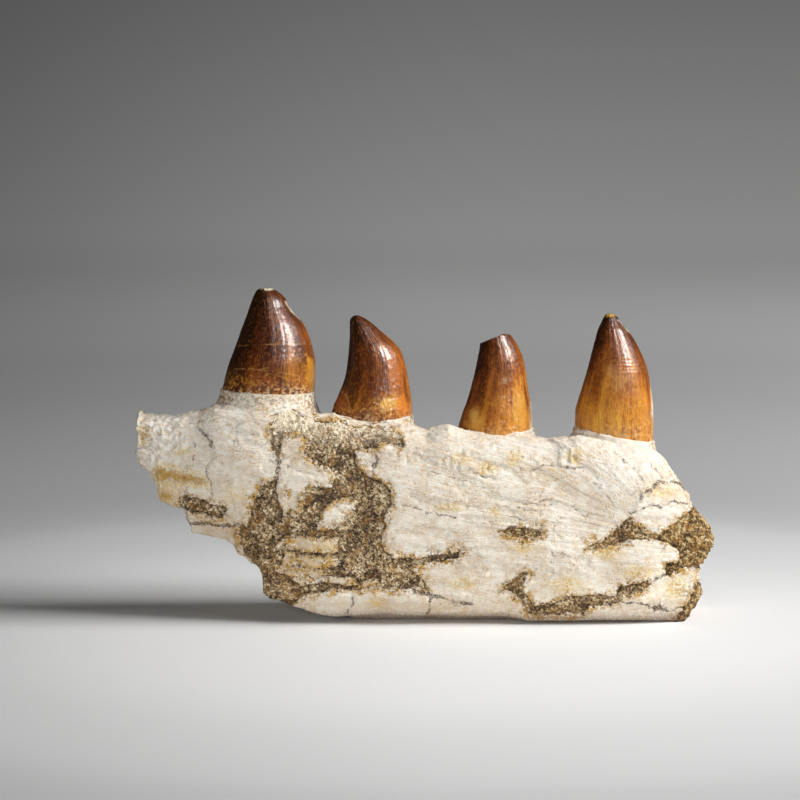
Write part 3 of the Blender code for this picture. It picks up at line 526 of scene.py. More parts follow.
# The lights as (name, degrees right of the viewer, degrees up, distance, size, watts). The shine on the
# crowns comes from a panel that only shines, and the two others light the jaw.
LIGHTS = [
    ("key", 80, 31, 2.0, (0.85, 0.55), 60.0),
    ("front", -18, 7, 1.8, (1.3, 0.9), 17.5),
    ("panel", 52, 40, 1.7, (0.5, 0.8), 66.0),
]
SHINE = "panel"
LIGHT_AIM = (0.0, 0.0, 0.05)
# The light from all round, and the backdrop, which only shows to the camera. The backdrop is painted
# brighter to the right and downward as painted light falloff, given as (direction from, to, strength there,
# there).
AMBIENT = 0.015
BACKDROP_ACROSS = (-0.25, 0.05, 0.085, 0.214)
BACKDROP_UP = (-0.2, 0.112, 1.61, 0.343)
BACKDROP_COLOUR = (1.0, 0.985, 0.98, 1.0)
# The floor in metres: its centre, its rings as (radius from, to, count), how pale it is at each distance
# from its centre, how much darker it gets per metre to the left, down to DIM_TO, and where it fades out.
# The paleness and the darkening are painted light falloff, away from the jaw and to the left.
FLOOR_CENTRE = (0.0, -0.01)
FLOOR_RINGS = ((0.0, 1.0, 60), (1.0, 6.0, 30))
FLOOR_ROUND = 96
FLOOR_FALLOFF = [
    (0.0, 0.90), (0.12, 0.88), (0.15, 0.86), (0.184, 0.80), (0.2, 0.76), (0.265, 0.67), (0.297, 0.56),
    (0.35, 0.50), (0.8, 0.51), (1.04, 0.58), (1.2, 0.71), (1.6, 0.95), (6.0, 1.0),
]
FLOOR_DIM, DIM_TO = 0.75, -0.4
FLOOR_FADE = (0.7, 2.6)


# Conversions and noise.

def traced(across, down, y):
    """(x, z) where the line of sight through a point of the picture meets the plane Y = y."""
    right = (np.asarray(across, float) - PICTURE_MIDDLE) * UNIT / EYE_DISTANCE
    up = (PICTURE_MIDDLE - np.asarray(down, float)) * UNIT / EYE_DISTANCE
    travel = (np.asarray(y, float) + EYE_DISTANCE * EYE_COS) / (EYE_COS + up * EYE_SIN)
    return AIM_X + travel * right, AIM_Z + EYE_DISTANCE * EYE_SIN + travel * (up * EYE_COS - EYE_SIN)


def seen(points):
    """(across, down) in the picture's units of points of the form."""
    x = points[..., 0] - AIM_X
    y = points[..., 1] + EYE_DISTANCE * EYE_COS
    z = points[..., 2] - AIM_Z - EYE_DISTANCE * EYE_SIN
    ahead, up = y * EYE_COS - z * EYE_SIN, y * EYE_SIN + z * EYE_COS
    scale = EYE_DISTANCE / UNIT / ahead
    return PICTURE_MIDDLE + x * scale, PICTURE_MIDDLE - up * scale


def traced_line(line, y):
    return np.array([traced(across, down, y) for across, down in line])


def place(across):
    return traced(across, PICTURE_MIDDLE, 0.0)[0]


def looked_up(table, value):
    """The second column of a table where its first has this value, in proportion between the rows."""
    return np.interp(value, *np.array(table, float).T)


def along(table, x):
    return looked_up([(place(across), value) for across, value in table], x)


def circle(count):
    return np.arange(count) * 2 * math.pi / count


def ramp(value, start, length):
    return np.clip((value - start) / length, 0.0, 1.0)


def smooth(value, start, length):
    share = ramp(value, start, length)
    return share * share * (3.0 - 2.0 * share)


def lattice(corner, seed):
    """A repeatable number from -1 to 1 for each whole-number point."""
    mixed = corner @ np.array([374761393, 668265263, 362437]) + seed * 1274126177
    mixed = (mixed ^ (mixed >> 13)) * 1103515245 & 0x7FFFFFFF
    return ((mixed ^ (mixed >> 16)) & 0xFFFF) / 32767.5 - 1.0


def grain(points, size, seed):
    """Smooth noise from -1 to 1 at points, which varies over about size."""
    place_in = np.asarray(points, float) / size
    base = np.floor(place_in).astype(np.int64)
    part = place_in - base
    part = part * part * (3.0 - 2.0 * part)
    total = np.zeros(place_in.shape[:-1])
    for corner in itertools.product((0, 1), repeat=3):
        share = np.prod(np.where(np.array(corner) == 1, part, 1.0 - part), axis=-1)
        total += share * lattice(base + np.array(corner), seed)
    return total


def layers(points, sizes, seed):
    """Noise of several sizes on top of each other, as (size, amount)."""
    return sum(amount * grain(points, size, seed + index) for index, (size, amount) in enumerate(sizes))


def inside_distance(across, down, outline):
    """How far each point is inside an outline, in picture units, and negative where it is outside."""
    nearest = np.full(across.shape, 1e9)
    inside = np.zeros(across.shape, bool)
    for (x0, y0), (x1, y1) in zip(outline, [*outline[1:], outline[0]]):
        nearest = np.minimum(nearest, segment_distance(across, down, (x0, y0), (x1, y1)))
        if y0 != y1:
            crosses = (y0 > down) != (y1 > down)
            inside ^= crosses & (across < (x1 - x0) * (down - y0) / (y1 - y0) + x0)
    return np.where(inside, nearest, -nearest)


def segment_distance(across, down, start, end):
    dx, dy = end[0] - start[0], end[1] - start[1]
    share = np.clip(((across - start[0]) * dx + (down - start[1]) * dy) / (dx * dx + dy * dy), 0.0, 1.0)
    return np.hypot(across - start[0] - share * dx, down - start[1] - share * dy)


def line_distance(across, down, line):
    return np.min([segment_distance(across, down, a, b) for a, b in zip(line, line[1:])], axis=0)


def close_to(across, down, line, margin):
    """Whether points of the picture are in the box round a line, widened by a margin."""
    low, high = np.min(line, axis=0) - margin, np.max(line, axis=0) + margin
    return (across > low[0]) & (across < high[0]) & (down > low[1]) & (down < high[1])


def spots(across, down, table):
    """The sum of round spots, each as (across, down, half width, half height, strength at its middle)."""
    total = np.zeros(across.shape)
    for middle, level, half_width, half_height, strength in table:
        reach = ((across - middle) / half_width) ** 2 + ((down - level) / half_height) ** 2
        total += strength * np.exp(-reach)
    return total


# The jaw's form.

def section_curve(fine, coarse):
    """The section as points of a closed smooth curve, closer together on the outer face and the top."""
    shape = np.array(SECTION)
    points = []
    for index in range(len(shape)):
        p0, p1, p2, p3 = (shape[(index + k) % len(shape)] for k in (-1, 0, 1, 2))
        length = np.hypot(*((p2 - p1) * SECTION_SCALE))
        steps = max(1, round(length / (fine if index in FRONT_SEGMENTS else coarse)))
        t = (np.arange(steps) / steps)[:, None]
        linear, square, cube = p2 - p0, 2 * p0 - 5 * p1 + 4 * p2 - p3, 3 * p1 - p0 - 3 * p2 + p3
        points.append(p1 + 0.5 * (linear * t + square * t**2 + cube * t**3))
    curve = np.concatenate(points)
    curve[:, 1] = np.where(curve[:, 1] < FLAT_BELOW, 0.0, curve[:, 1])
    return curve


def bottom_edge():
    foot = [[place(FOOT_START), 0.0], [place(FOOT_END), 0.0]]
    return np.concatenate([traced_line(BOTTOM_LINE, BOTTOM_LINE_Y), foot, traced_line(HEEL, BOTTOM_LINE_Y)])


def rings_at(stations, curve):
    """Rings of points round the jaw at each of the stations, before the ends are bent and closed."""
    top, bottom = traced_line(TOP_LINE, TOP_LINE_Y), bottom_edge()
    x = stations[:, None]
    high, low = np.interp(x, top[:, 0], top[:, 1]), np.interp(x, bottom[:, 0], bottom[:, 1])
    half = along(THICKNESS, x) / 2
    across, height = np.broadcast_arrays(curve[None, :, 0], curve[None, :, 1])
    forward = ramp(x, place(FOOT_CHANGE[0]), place(FOOT_CHANGE[1]) - place(FOOT_CHANGE[0]))
    at_foot = (height < REACH_HEIGHT) & (across < -REACH_FROM)
    across = across - np.where(at_foot, FOOT_REACH * forward * (1.0 - height / REACH_HEIGHT), 0.0)
    y = along(SETBACK, x) + across * half
    z = low + height * (high - low)
    grounded = smooth(x, place(FOOT_START) - 6.0, 6.0) * (x < place(FOOT_END))
    rise = ramp(-across, LIFT_FROM, LIFT_OVER) ** 1.5
    z = z + grounded * FRONT_LIFT * (1.0 - forward) * rise * (1.0 - ramp(height, 0.0, LIFT_HEIGHT))
    return np.stack(np.broadcast_arrays(x, y, z), axis=-1)


def end_reach(table, z):
    line = traced_line([(across, down) for down, across in table], 0.0)
    order = np.argsort(line[:, 1])
    return np.interp(z, line[order, 1], line[order, 0])


def end_cap(ring, table, side):
    """Ever smaller rings that close an end: a bevel first, and then the broken face."""
    bevel, cap = np.linspace(1.0, BEVEL_SHARE, BEVEL_RINGS), np.linspace(BEVEL_SHARE, 0.0, CAP_RINGS)
    shares = np.concatenate([bevel[1:], cap[1:-1]])
    middle = ring.mean(axis=0)
    smaller = middle + (ring[None] - middle) * shares[:, None, None]
    rough = np.abs(grain(smaller * [0, 1, 1], CAP_ROUGH_SIZE, 5)) * CAP_ROUGHNESS
    depth = looked_up(CAP_DEPTHS, shares)[:, None] * (LEFT_CAP_SHARE if side < 0 else 1.0)
    face = end_reach(table, smaller[..., 2]) - side * (depth + rough)
    smaller[..., 0] += (face - smaller[..., 0]) * ramp(1.0 - shares, 0.0, 1.0 - BEVEL_SHARE)[:, None]
    return smaller


def swell(x, z, table, y):
    return spots(x, z, [
        (*traced(across, down, y), half_width * UNIT, half_height * UNIT, out)
        for across, down, half_width, half_height, out in table
    ])


def with_relief(rings):
    """The swellings, hollows and roughness that the solid has too."""
    x, y, z = rings[..., 0], rings[..., 1], rings[..., 2]
    side = np.clip((y - along(SETBACK, x)) / (along(THICKNESS, x) / 2), -1.0, 1.0)
    front, back = ramp(-side, FACE_FROM, FACE_OVER), ramp(side, FACE_FROM, FACE_OVER)
    off_foot = ramp(z, 0.0, GROUND_FADE)
    rough = layers(rings, ROUGHNESS, 0)
    rings[..., 1] -= front * off_foot * (swell(x, z, SWELLS, -FACE_Y) + rough)
    rings[..., 1] += back * off_foot * (swell(x, z, BACK_SWELLS, FACE_Y) + rough * BACK_ROUGHNESS)
    on_top = (1.0 - ramp(np.abs(side), 0.0, 0.7)) * ramp(z, TOP_FROM, TOP_OVER)
    rings[..., 2] += on_top * rough * TOP_ROUGHNESS
    return rings


def jaw_grid(step, curve, start=None, end=None):
    """The jaw's surface as rings of points from start to end along X, or with its end caps."""
    top = traced_line(TOP_LINE, TOP_LINE_Y)
    first, last = top[0, 0], top[-1, 0]
    low, high = max(first, first if start is None else start), min(last, last if end is None else end)
    rings = rings_at(np.linspace(low, high, max(2, round((high - low) / step))), curve)
    nearness = 1.0 - ramp(rings[..., 0], first, END_BLEND)
    rings[..., 0] += nearness * (end_reach(LEFT_END, rings[..., 2]) - first)
    parts = [rings]
    if low == first:
        parts.insert(0, end_cap(rings[0], LEFT_END, -1)[::-1])
    if high == last:
        parts.append(end_cap(rings[-1], RIGHT_END, 1))
    return with_relief(np.concatenate(parts))


def grid_normals(rings):
    """Outward normals of a grid that is closed round its rings."""
    lengthwise = np.gradient(rings, axis=0)
    round_it = np.roll(rings, -1, axis=1) - np.roll(rings, 1, axis=1)
    normals = np.cross(lengthwise, round_it)
    normals /= np.maximum(np.linalg.norm(normals, axis=-1, keepdims=True), 1e-9)
    outward = rings[..., 1] - along(SETBACK, rings[..., 0])
    if np.sum(normals[..., 1] * outward) < 0:
        normals = -normals
    return normals


def wobbled(points, back=False):
    """Where points lie in the picture, with the small wobble that makes a drawn outline a broken edge."""
    flat = points.copy()
    flat[..., 1] = 22.0 if back else np.minimum(flat[..., 1], -12.0)
    across, down = seen(flat)
    where = np.stack([across, down, np.zeros_like(across)], axis=-1)
    across = across + layers(where, EDGE_WOBBLE, 11)
    down = down + layers(where, EDGE_WOBBLE, 17)
    return across, down


def rock_depth(points, spec):
    """How far points are inside a patch of rock, in picture units, and negative outside it."""
    back = spec.get("back", False)
    across, down = wobbled(points, back)
    depth = np.full(across.shape, -ROCK_MARGIN)
    y = -points[..., 1] if back else points[..., 1]
    near = close_to(across, down, spec["outline"], ROCK_MARGIN) & (y < spec["reach"] + 5.0)
    found = inside_distance(across[near], down[near], spec["outline"])
    for island in spec.get("islands", []):
        found = np.minimum(found, -inside_distance(across[near], down[near], island) - ISLAND_GROWTH)
    found = np.minimum(found, (spec["reach"] - y[near]) / UNIT)
    if "end" in spec:
        wobble = layers(points[near], ROCK_END_WOBBLE, 23)
        end = inside_distance(points[near][:, 1] + wobble, points[near][:, 2] - wobble, spec["end"])
        found = np.minimum(found, end / UNIT)
    depth[near] = found
    return depth


def all_rock_depth(points):
    """How far points are inside any patch of rock."""
    return np.max([rock_depth(points, spec) for spec in ROCKS.values()], axis=0)


# Meshes.

def new_object(name, points, faces):
    """A smooth mesh of points in millimetres, moved to the frame's origin."""
    mesh = bpy.data.meshes.new(name)
    mesh.from_pydata(((points + SHIFT) * MM).tolist(), [], faces)
    mesh.shade_smooth()
    obj = bpy.data.objects.new(name, mesh)
    bpy.context.scene.collection.objects.link(obj)
    return obj


def tube_faces(rows, columns):
    row, column = np.meshgrid(np.arange(rows - 1), np.arange(columns), indexing="ij")
    beside = (column + 1) % columns
    near, far = row * columns, (row + 1) * columns
    return np.stack([near + column, near + beside, far + beside, far + column], axis=-1).reshape(-1, 4)


def closed_tube(name, rings):
    """A closed mesh through rings of points, each end closed by a fan."""
    rows, columns = rings.shape[:2]
    points = np.concatenate([rings.reshape(-1, 3), [rings[0].mean(axis=0), rings[-1].mean(axis=0)]])
    faces = tube_faces(rows, columns).tolist()
    for column in range(columns):
        beside, last = (column + 1) % columns, (rows - 1) * columns
        faces.append([beside, column, rows * columns])
        faces.append([last + column, last + beside, rows * columns + 1])
    return outward(new_object(name, points, faces))


def outward(obj):
    """Turns a closed mesh's faces outward if they point in."""
    obj.data.calc_loop_triangles()
    corners = np.zeros(len(obj.data.loop_triangles) * 3, int)
    obj.data.loop_triangles.foreach_get("vertices", corners)
    points = form_points(obj)[corners.reshape(-1, 3)]
    if np.einsum("ij,ij->i", points[:, 0], np.cross(points[:, 1], points[:, 2])).sum() < 0:
        obj.data.flip_normals()
    return obj


def form_points(obj):
    """A mesh's points in the form's own millimetres."""
    places = np.zeros(len(obj.data.vertices) * 3)
    obj.data.vertices.foreach_get("co", places)
    return places.reshape(-1, 3) / MM - SHIFT


def point_normals(obj):
    normals = np.zeros(len(obj.data.vertices) * 3)
    obj.data.vertex_normals.foreach_get("vector", normals)
    return normals.reshape(-1, 3)


def thinned(obj, triangles):
    """Collapses an object's flattest facets until it has about this many triangles."""
    modifier = obj.modifiers.new("thin", "DECIMATE")
    modifier.ratio = min(1.0, triangles / len(obj.data.loop_triangles))
    evaluated = obj.evaluated_get(bpy.context.evaluated_depsgraph_get())
    mesh = bpy.data.meshes.new_from_object(evaluated)
    obj.modifiers.clear()
    obj.data = mesh
    mesh.shade_smooth()


def store(obj, name, values):
    """Keeps one number, or one vector, for each point of a mesh."""
    values = np.asarray(values, np.float32)
    kind, field = ("FLOAT", "value") if values.ndim == 1 else ("FLOAT_VECTOR", "vector")
    layer = obj.data.attributes.new(name, kind, "POINT")
    layer.data.foreach_set(field, values.ravel())


def finish_piece(obj, node, material):
    places = np.clip((form_points(obj) + SHIFT) * MM, *CAD_BOX)
    obj.data.vertices.foreach_set("co", places.ravel())
    obj.data.materials.append(material)
    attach(obj, "root")
    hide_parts(node)


# The bone.

def frontness(points):
    """1 on the outer face, and 0 on the inner one."""
    return smooth(-points[..., 1], -4.0, 8.0)


def crack_depth(points):
    """How deep in a crack each point is, from 0 to 1."""
    across, down = wobbled(points)
    across, down = across + 0.9 * grain(points, 0.9, 27), down + 0.9 * grain(points, 0.9, 28)
    depth = np.zeros(across.shape)
    broken_up = smooth(grain(points, 3.5, 33) + 0.7 * grain(points, 1.2, 34), -0.8, 1.1)
    for width, strength, line in CRACKS:
        near = close_to(across, down, line, CRACK_MARGIN)
        distance = line_distance(across[near], down[near], line)
        found = strength * np.exp(-(distance / width) ** 2) * (0.35 + 0.65 * broken_up[near])
        depth[near] = np.maximum(depth[near], found)
    return depth * (0.7 + 0.3 * frontness(points))


def plate_relief(points):
    across, down = wobbled(points)
    total = np.zeros(across.shape)
    for out, outline in PLATES:
        total += out * smooth(inside_distance(across, down, outline), -1.2, 2.4)
    return total * frontness(points)


def stain(points, kind):
    return spots(*wobbled(points), STAINS[kind]) * (0.5 + 0.5 * frontness(points))


def fibre_place(points):
    """Where a point lies along and across the bone's fibres, in millimetres."""
    across, down = seen(points)
    reach = np.arange(120.0, 760.0)
    fallen = np.interp(across, reach, np.cumsum(looked_up(FIBRES, reach)) * UNIT)
    share = smooth(-down, -580.0, 90.0)
    return np.stack([points[..., 0], points[..., 2] + fallen * share, points[..., 1]], axis=-1)


def crown_distance(points):
    """How far points are, across a level plane, outside the nearest crown's base."""
    nearest = np.full(points.shape[:-1], 50.0)
    for tooth, spec in COLLARS.items():
        setback = CROWNS[tooth]["setback"]
        (left_x, _), (right_x, _) = traced_line(spec["top"], setback)
        middle, half = (left_x + right_x) / 2, (right_x - left_x) / 2
        beside = (points[..., 0] - middle) / half
        behind = (points[..., 1] - setback) / (half * spec["depth"])
        nearest = np.minimum(nearest, (np.hypot(beside, behind) - 1.0) * half)
    return nearest


def flaked(points, fibres):
    """The thin layers that have flaked off in places, and small pits."""
    total = np.zeros(points.shape[:-1])
    for seed, (length, width, thickness) in enumerate(FLAKES):
        cover = grain(fibres / [length, width, 8.0], 1.0, 81 + seed) + 0.22 * grain(points, 1.6, 85 + seed)
        total -= thickness * smooth(cover, 0.22, 0.06)
    pits = 0.4 * smooth(grain(points, 1.4, 89), 0.58, 0.25) * smooth(grain(points, 9.0, 90), 0.0, 0.4)
    return total - pits


def bone_relief(rings, normals):
    """How far the bone's surface stands out from its plain form."""
    fibres = fibre_place(rings)
    out = -POCKET_DEPTH * smooth(all_rock_depth(rings), -0.6, 2.6) - CRACK_DEPTH * crack_depth(rings)
    out += layers(rings, BONE_GRAIN, 31)
    calm = 1.0 - 0.6 * smooth(rings[..., 0], place(560), 22.0)
    out += calm * (0.15 * grain(fibres / [9.0, 1.1, 4.0], 1.0, 35) + flaked(rings, fibres))
    out += stain(rings, "crumbs") * layers(rings, BONE_CRUMBS, 93)
    out += np.abs(normals[..., 0]) * layers(rings, END_GRAIN, 37)
    return out


def notched(rings):
    """How far the broken ends' notches push each point along X."""
    left, right = place(NOTCHED[0]), place(NOTCHED[1])
    depth = np.abs(layers(rings * [0.0, 1.0, 1.0], END_NOTCHES, 91))
    at_left = 1.0 - ramp(rings[..., 0], left, NOTCH_FADE)
    return depth * (at_left - ramp(rings[..., 0], right - NOTCH_FADE, NOTCH_FADE))


def build_bone(material):
    rings = jaw_grid(BONE_STEPS[0], section_curve(*BONE_STEPS[1:]))
    normals = grid_normals(rings)
    off_foot = smooth(rings[..., 2], 0.0, 2.0)
    out = bone_relief(rings, normals)
    plates = plate_relief(rings) * off_foot
    worn = FOOT_WEAR * smooth(-rings[..., 1], 12.0, 9.0) * (1.0 - smooth(rings[..., 2], 0.0, 3.5))
    notches = notched(rings) * off_foot
    rings = rings + normals * (out * off_foot)[..., None]
    rings[..., 0] += notches
    rings[..., 1] -= plates
    rings[..., 2] += worn
    seat = smooth(-crown_distance(rings), 0.3, 1.0) * smooth(normals[..., 2], 0.3, 0.4)
    rings[..., 2] -= seat * SEAT_DEPTH
    bone = closed_tube("bone", rings)
    thinned(bone, BONE_TRIANGLES)
    points = form_points(bone)
    store(bone, "rock", all_rock_depth(points))
    store_marks(bone)
    finish_piece(bone, "jaw_bone", material)


def store_marks(obj):
    points = form_points(obj)
    store(obj, "crack", crack_depth(points))
    store(obj, "fibre", fibre_place(points))
    # Painted shade: darker over the bottom few millimetres, where the jaw curves in towards the floor.
    store(obj, "underside_shade", 0.85 * (1.0 - smooth(points[:, 2], 1.0, 6.0)))
    store(obj, "broken", smooth(np.abs(point_normals(obj)[:, 0]), 0.5, 0.4))
    round_crowns = smooth(-crown_distance(points), -4.0, 4.0) * smooth(points[:, 2], 70.0, 8.0)
    round_crowns *= 0.6 - 0.45 * smooth(points[:, 0], place(430), 20.0)
    store(obj, "sandy", np.maximum(round_crowns, stain(points, "sand")))
    for kind in ("ochre", "white_and_light", "tan"):
        store(obj, kind, stain(points, kind))


def collar_ring(tooth, share, angles):
    """One level of the old root round a crown, from inside the jaw at COLLAR_FOOT to its own top at 1."""
    spec, setback = COLLARS[tooth], CROWNS[tooth]["setback"]
    top, foot = traced_line(spec["top"], setback), traced_line(spec["foot"], setback)
    flare = min(1.0, 1.0 - share) ** 2
    left, right = top[:, 0] + (foot[:, 0] - top[:, 0]) * flare
    ends = top[:, 1] + (foot[:, 1] - top[:, 1]) * (1.0 - share)
    half, inner = (right - left) / 2, (top[1, 0] - top[0, 0]) / 2
    depth = np.where(np.sin(angles) > 0.0, 0.7 * inner + 0.3 * half, half) * spec["depth"]
    x, y = (left + right) / 2 + half * np.cos(angles), setback + depth * np.sin(angles)
    z = np.interp(x, [left, right], ends) - COLLAR_FALL * ramp(y, setback, half) * max(share, 0.0)
    return np.stack([x, y, z], axis=1)


def build_collar(tooth, material):
    """A ring of old root round a crown: outer wall, rounded top, inner wall and bottom."""
    shares = np.linspace(COLLAR_FOOT, 1.0, COLLAR_RISE)
    rings = [collar_ring(tooth, share, circle(COLLAR_ROUND)) for share in shares]
    top = rings[-1]
    middle = top.mean(axis=0)
    for share, rise in COLLAR_LIP:
        ring = middle + (top - middle) * share
        ring[:, 2] = top[:, 2] + rise
        rings.append(ring)
    rings = np.array(rings)
    rows, columns = rings.shape[:2]
    first = np.arange(columns)
    last = first + (rows - 1) * columns
    closing = np.stack([last, np.roll(last, -1), np.roll(first, -1), first], axis=1)
    rough = layers(rings, COLLAR_GRAIN, 53)
    points = (rings + grid_normals(rings) * rough[..., None]).reshape(-1, 3)
    faces = np.concatenate([tube_faces(rows, columns), closing]).tolist()
    collar = outward(new_object(tooth + "_root", points, faces))
    store(collar, "rock", np.full(len(points), -ROCK_MARGIN))
    store_marks(collar)
    finish_piece(collar, "jaw_bone", material)


# The rock.

def shell_faces(faces, count):
    """The faces of a shell: the outer ones, the same ones behind them, and walls along their rim."""
    edges = np.concatenate([faces[:, [k, (k + 1) % 4]] for k in range(4)])
    rim = edges[~np.isin(edges[:, 0] * count + edges[:, 1], edges[:, 1] * count + edges[:, 0])]
    walls = np.stack([rim[:, 1], rim[:, 0], rim[:, 0] + count, rim[:, 1] + count], axis=1)
    return np.concatenate([faces, faces[:, ::-1] + count, walls])


def build_rock(name, spec, material):
    """A shell of rock that fills its pocket, sunk towards its rim."""
    curve = section_curve(ROCK_STEP, ROCK_STEP if "end" in spec or "back" in spec else ROCK_BACK_STEP)
    outline = np.array(spec["outline"])
    start, end = place(outline[:, 0].min()) - ROCK_SPARE, place(outline[:, 0].max()) + ROCK_SPARE
    rings = jaw_grid(ROCK_STEP, curve, start, end)
    normals = grid_normals(rings)
    depth = rock_depth(rings, spec)
    pale = (1.0 - smooth(seen(rings)[1], 418.0, 34.0)) * (name == "rock_centre")
    sunk = spec["recess"] * (1.0 - 0.75 * pale) + 0.45 * grain(rings, 6.0, 41)
    sunk += 1.6 * (1.0 - smooth(depth, -2.6, 2.4)) * (1.0 - 0.5 * pale)
    lumps = layers(rings, ROCK_LUMPS, 43) * spec.get("rough", 1.0)
    outer = rings + normals * (lumps - sunk)[..., None]
    points = np.concatenate([outer.reshape(-1, 3), (rings - normals * ROCK_BACK).reshape(-1, 3)])
    faces = tube_faces(*depth.shape)
    faces = shell_faces(faces[(depth.ravel() > -2.6)[faces].all(axis=1)], depth.size)
    used, renumbered = np.unique(faces, return_inverse=True)
    rock = outward(new_object(name + "_sand", points[used], renumbered.reshape(-1, 4).tolist()))
    store(rock, "rock", np.tile(depth.ravel(), 2)[used])
    store(rock, "pale", np.tile(pale.ravel(), 2)[used])
    store(rock, "tint", np.full(len(used), spec["tint"]))
    finish_piece(rock, name, material)


# The crowns.

def monotone(x, xs, ys):
    """A smooth curve through points that doesn't overshoot them."""
    gaps, slopes = np.diff(xs), np.diff(ys) / np.diff(xs)
    product = slopes[:-1] * slopes[1:]
    middle = np.where(product > 0, 2 * product / np.where(product > 0, slopes[:-1] + slopes[1:], 1.0), 0.0)
    tangents = np.concatenate([[slopes[0]], middle, [slopes[-1]]])
    index = np.clip(np.searchsorted(xs, x) - 1, 0, len(gaps) - 1)
    t, gap = (x - xs[index]) / gaps[index], gaps[index]
    start = ys[index] * (1 + 2 * t) * (1 - t) ** 2 + gap * tangents[index] * t * (1 - t) ** 2
    return start + ys[index + 1] * t * t * (3 - 2 * t) + gap * tangents[index + 1] * t * t * (t - 1)


def crown_rings(tooth, down, angles):
    """Rings of a crown at each height down the picture."""
    spec = CROWNS[tooth]
    levels = np.array(spec["levels"], float)
    rise = crown_rise(tooth, down)[:, None]
    y = spec["setback"] + spec["lean"] * rise**LEAN_POWER
    left, right = (monotone(down, levels[:, 0], levels[:, side])[:, None] for side in (1, 2))
    (left_x, z), (right_x, _) = traced(left, down[:, None], y), traced(right, down[:, None], y)
    half = (right_x - left_x) / 2
    depth = half * (spec["depth"] + (1.0 - spec["depth"]) * rise**3 * TIP_ROUNDNESS)
    keel = KEEL * (1.0 - 0.5 * rise)
    cos, sin = np.cos(angles)[None], np.sin(angles)[None]
    x = (left_x + right_x) / 2 + half * cos * (1.0 - keel + keel * np.abs(cos) ** 12)
    return np.stack(np.broadcast_arrays(x, y + depth * sin, z), axis=-1)


def crown_rise(tooth, down):
    levels = CROWNS[tooth]["levels"]
    return np.clip((levels[-1][0] - down) / (levels[-1][0] - levels[0][0]), 0.0, 1.0)


def frame_shift():
    """How far the form is moved so that the bottom centre of the solid's box is the origin."""
    levels = CROWNS["tooth_1"]["levels"]
    down, angles = np.linspace(levels[0][0], levels[-1][0], 200), np.linspace(0.0, 2 * math.pi, 721)
    crown = crown_rings("tooth_1", down, angles)
    box = np.array([list(corner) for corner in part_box("tooth_1")]) / MM
    middle = (crown.min(axis=(0, 1)) + crown.max(axis=(0, 1))) / 2
    return (box.mean(axis=0) - middle) * [1.0, 1.0, 0.0]


def streaks(rings, angles, fine, long, seed):
    """Noise that is drawn out down a crown, from -1 to 1."""
    x, y = STREAK_RADIUS * np.cos(angles)[None], STREAK_RADIUS * np.sin(angles)[None]
    places = np.stack(np.broadcast_arrays(x, y, rings[..., 2]), axis=-1)
    return grain(places / [fine, fine, long], 1.0, seed)


def crown_relief(tooth, rings, angles, down):
    """How far a crown stands out: fine flutes, a rough base and growth lines."""
    rise = crown_rise(tooth, down)
    out = 0.1 * streaks(rings, angles, 0.7, 30.0, 61) + 0.1 * streaks(rings, angles, 3.5, 30.0, 62)
    out += (0.08 + 0.4 * (1.0 - smooth(rise, 0.0, 0.22))) * layers(rings, CROWN_BASE_GRAIN, 63)
    if tooth in GROWTH_LINES:
        level, spread = GROWTH_LINES[tooth]
        wave = np.sin(down * 1.55 + 2.0 * grain(rings, 6.0, 64))
        out += 0.035 * wave * np.exp(-((down - level) / spread) ** 2)
    return out


def with_wear(tooth, rings, angles):
    """A crown's rings with their relief, broken tip and chips, and where the tip is broken off."""
    across, down = seen(rings)
    away = rings - rings.mean(axis=1, keepdims=True)
    away[..., 2] = 0.0
    away /= np.maximum(np.linalg.norm(away, axis=-1, keepdims=True), 0.1)
    rings = rings + away * crown_relief(tooth, rings, angles, down)[..., None]
    broken = np.zeros(across.shape)
    if tooth in BROKEN_TIP:
        limit = looked_up(BROKEN_TIP[tooth], across) + 0.7 * grain(rings, 1.5, 65)
        level = traced(across, limit, rings[..., 1])[1]
        broken = smooth(rings[..., 2] - level, -0.2, 0.5)
        rings[..., 2] = np.minimum(rings[..., 2], level)
    if tooth in CHIPS:
        line = CHIPS[tooth]
        limit = np.where((down > line[0][0]) & (down < line[-1][0]), looked_up(line, down), np.inf)
        x = traced(np.minimum(across, limit), down, rings[..., 1])[0]
        rings[..., 0] = np.minimum(rings[..., 0], x)
    return rings, broken


def linear(colour):
    share = np.array(colour) / 255.0
    return np.where(share > 0.04045, ((share + 0.055) / 1.055) ** 2.4, share / 12.92)


def enamel_shade(tooth, rings, angles, rise):
    """How dark each point of a crown is, from 0 for amber to 1 for near black."""
    side = np.broadcast_to(np.cos(angles)[None], rise.shape)
    start, by_rise, by_cube, right_painted_light, upper_left_painted_shade = ENAMEL[tooth]["shade"]
    # Painted light and shade: lighter to the right and darker at the upper left, as the light falls from
    # the right.
    shade = start + by_rise * rise + by_cube * rise**3 - right_painted_light * side
    shade += upper_left_painted_shade * np.maximum(-side, 0.0) * (0.25 + rise)
    shade += 0.12 * streaks(rings, angles, 1.8, 16.0, 71) + 0.13 * streaks(rings, angles, 0.6, 9.0, 72)
    return shade + layers(rings, SHADE_CLOUDS, 73)


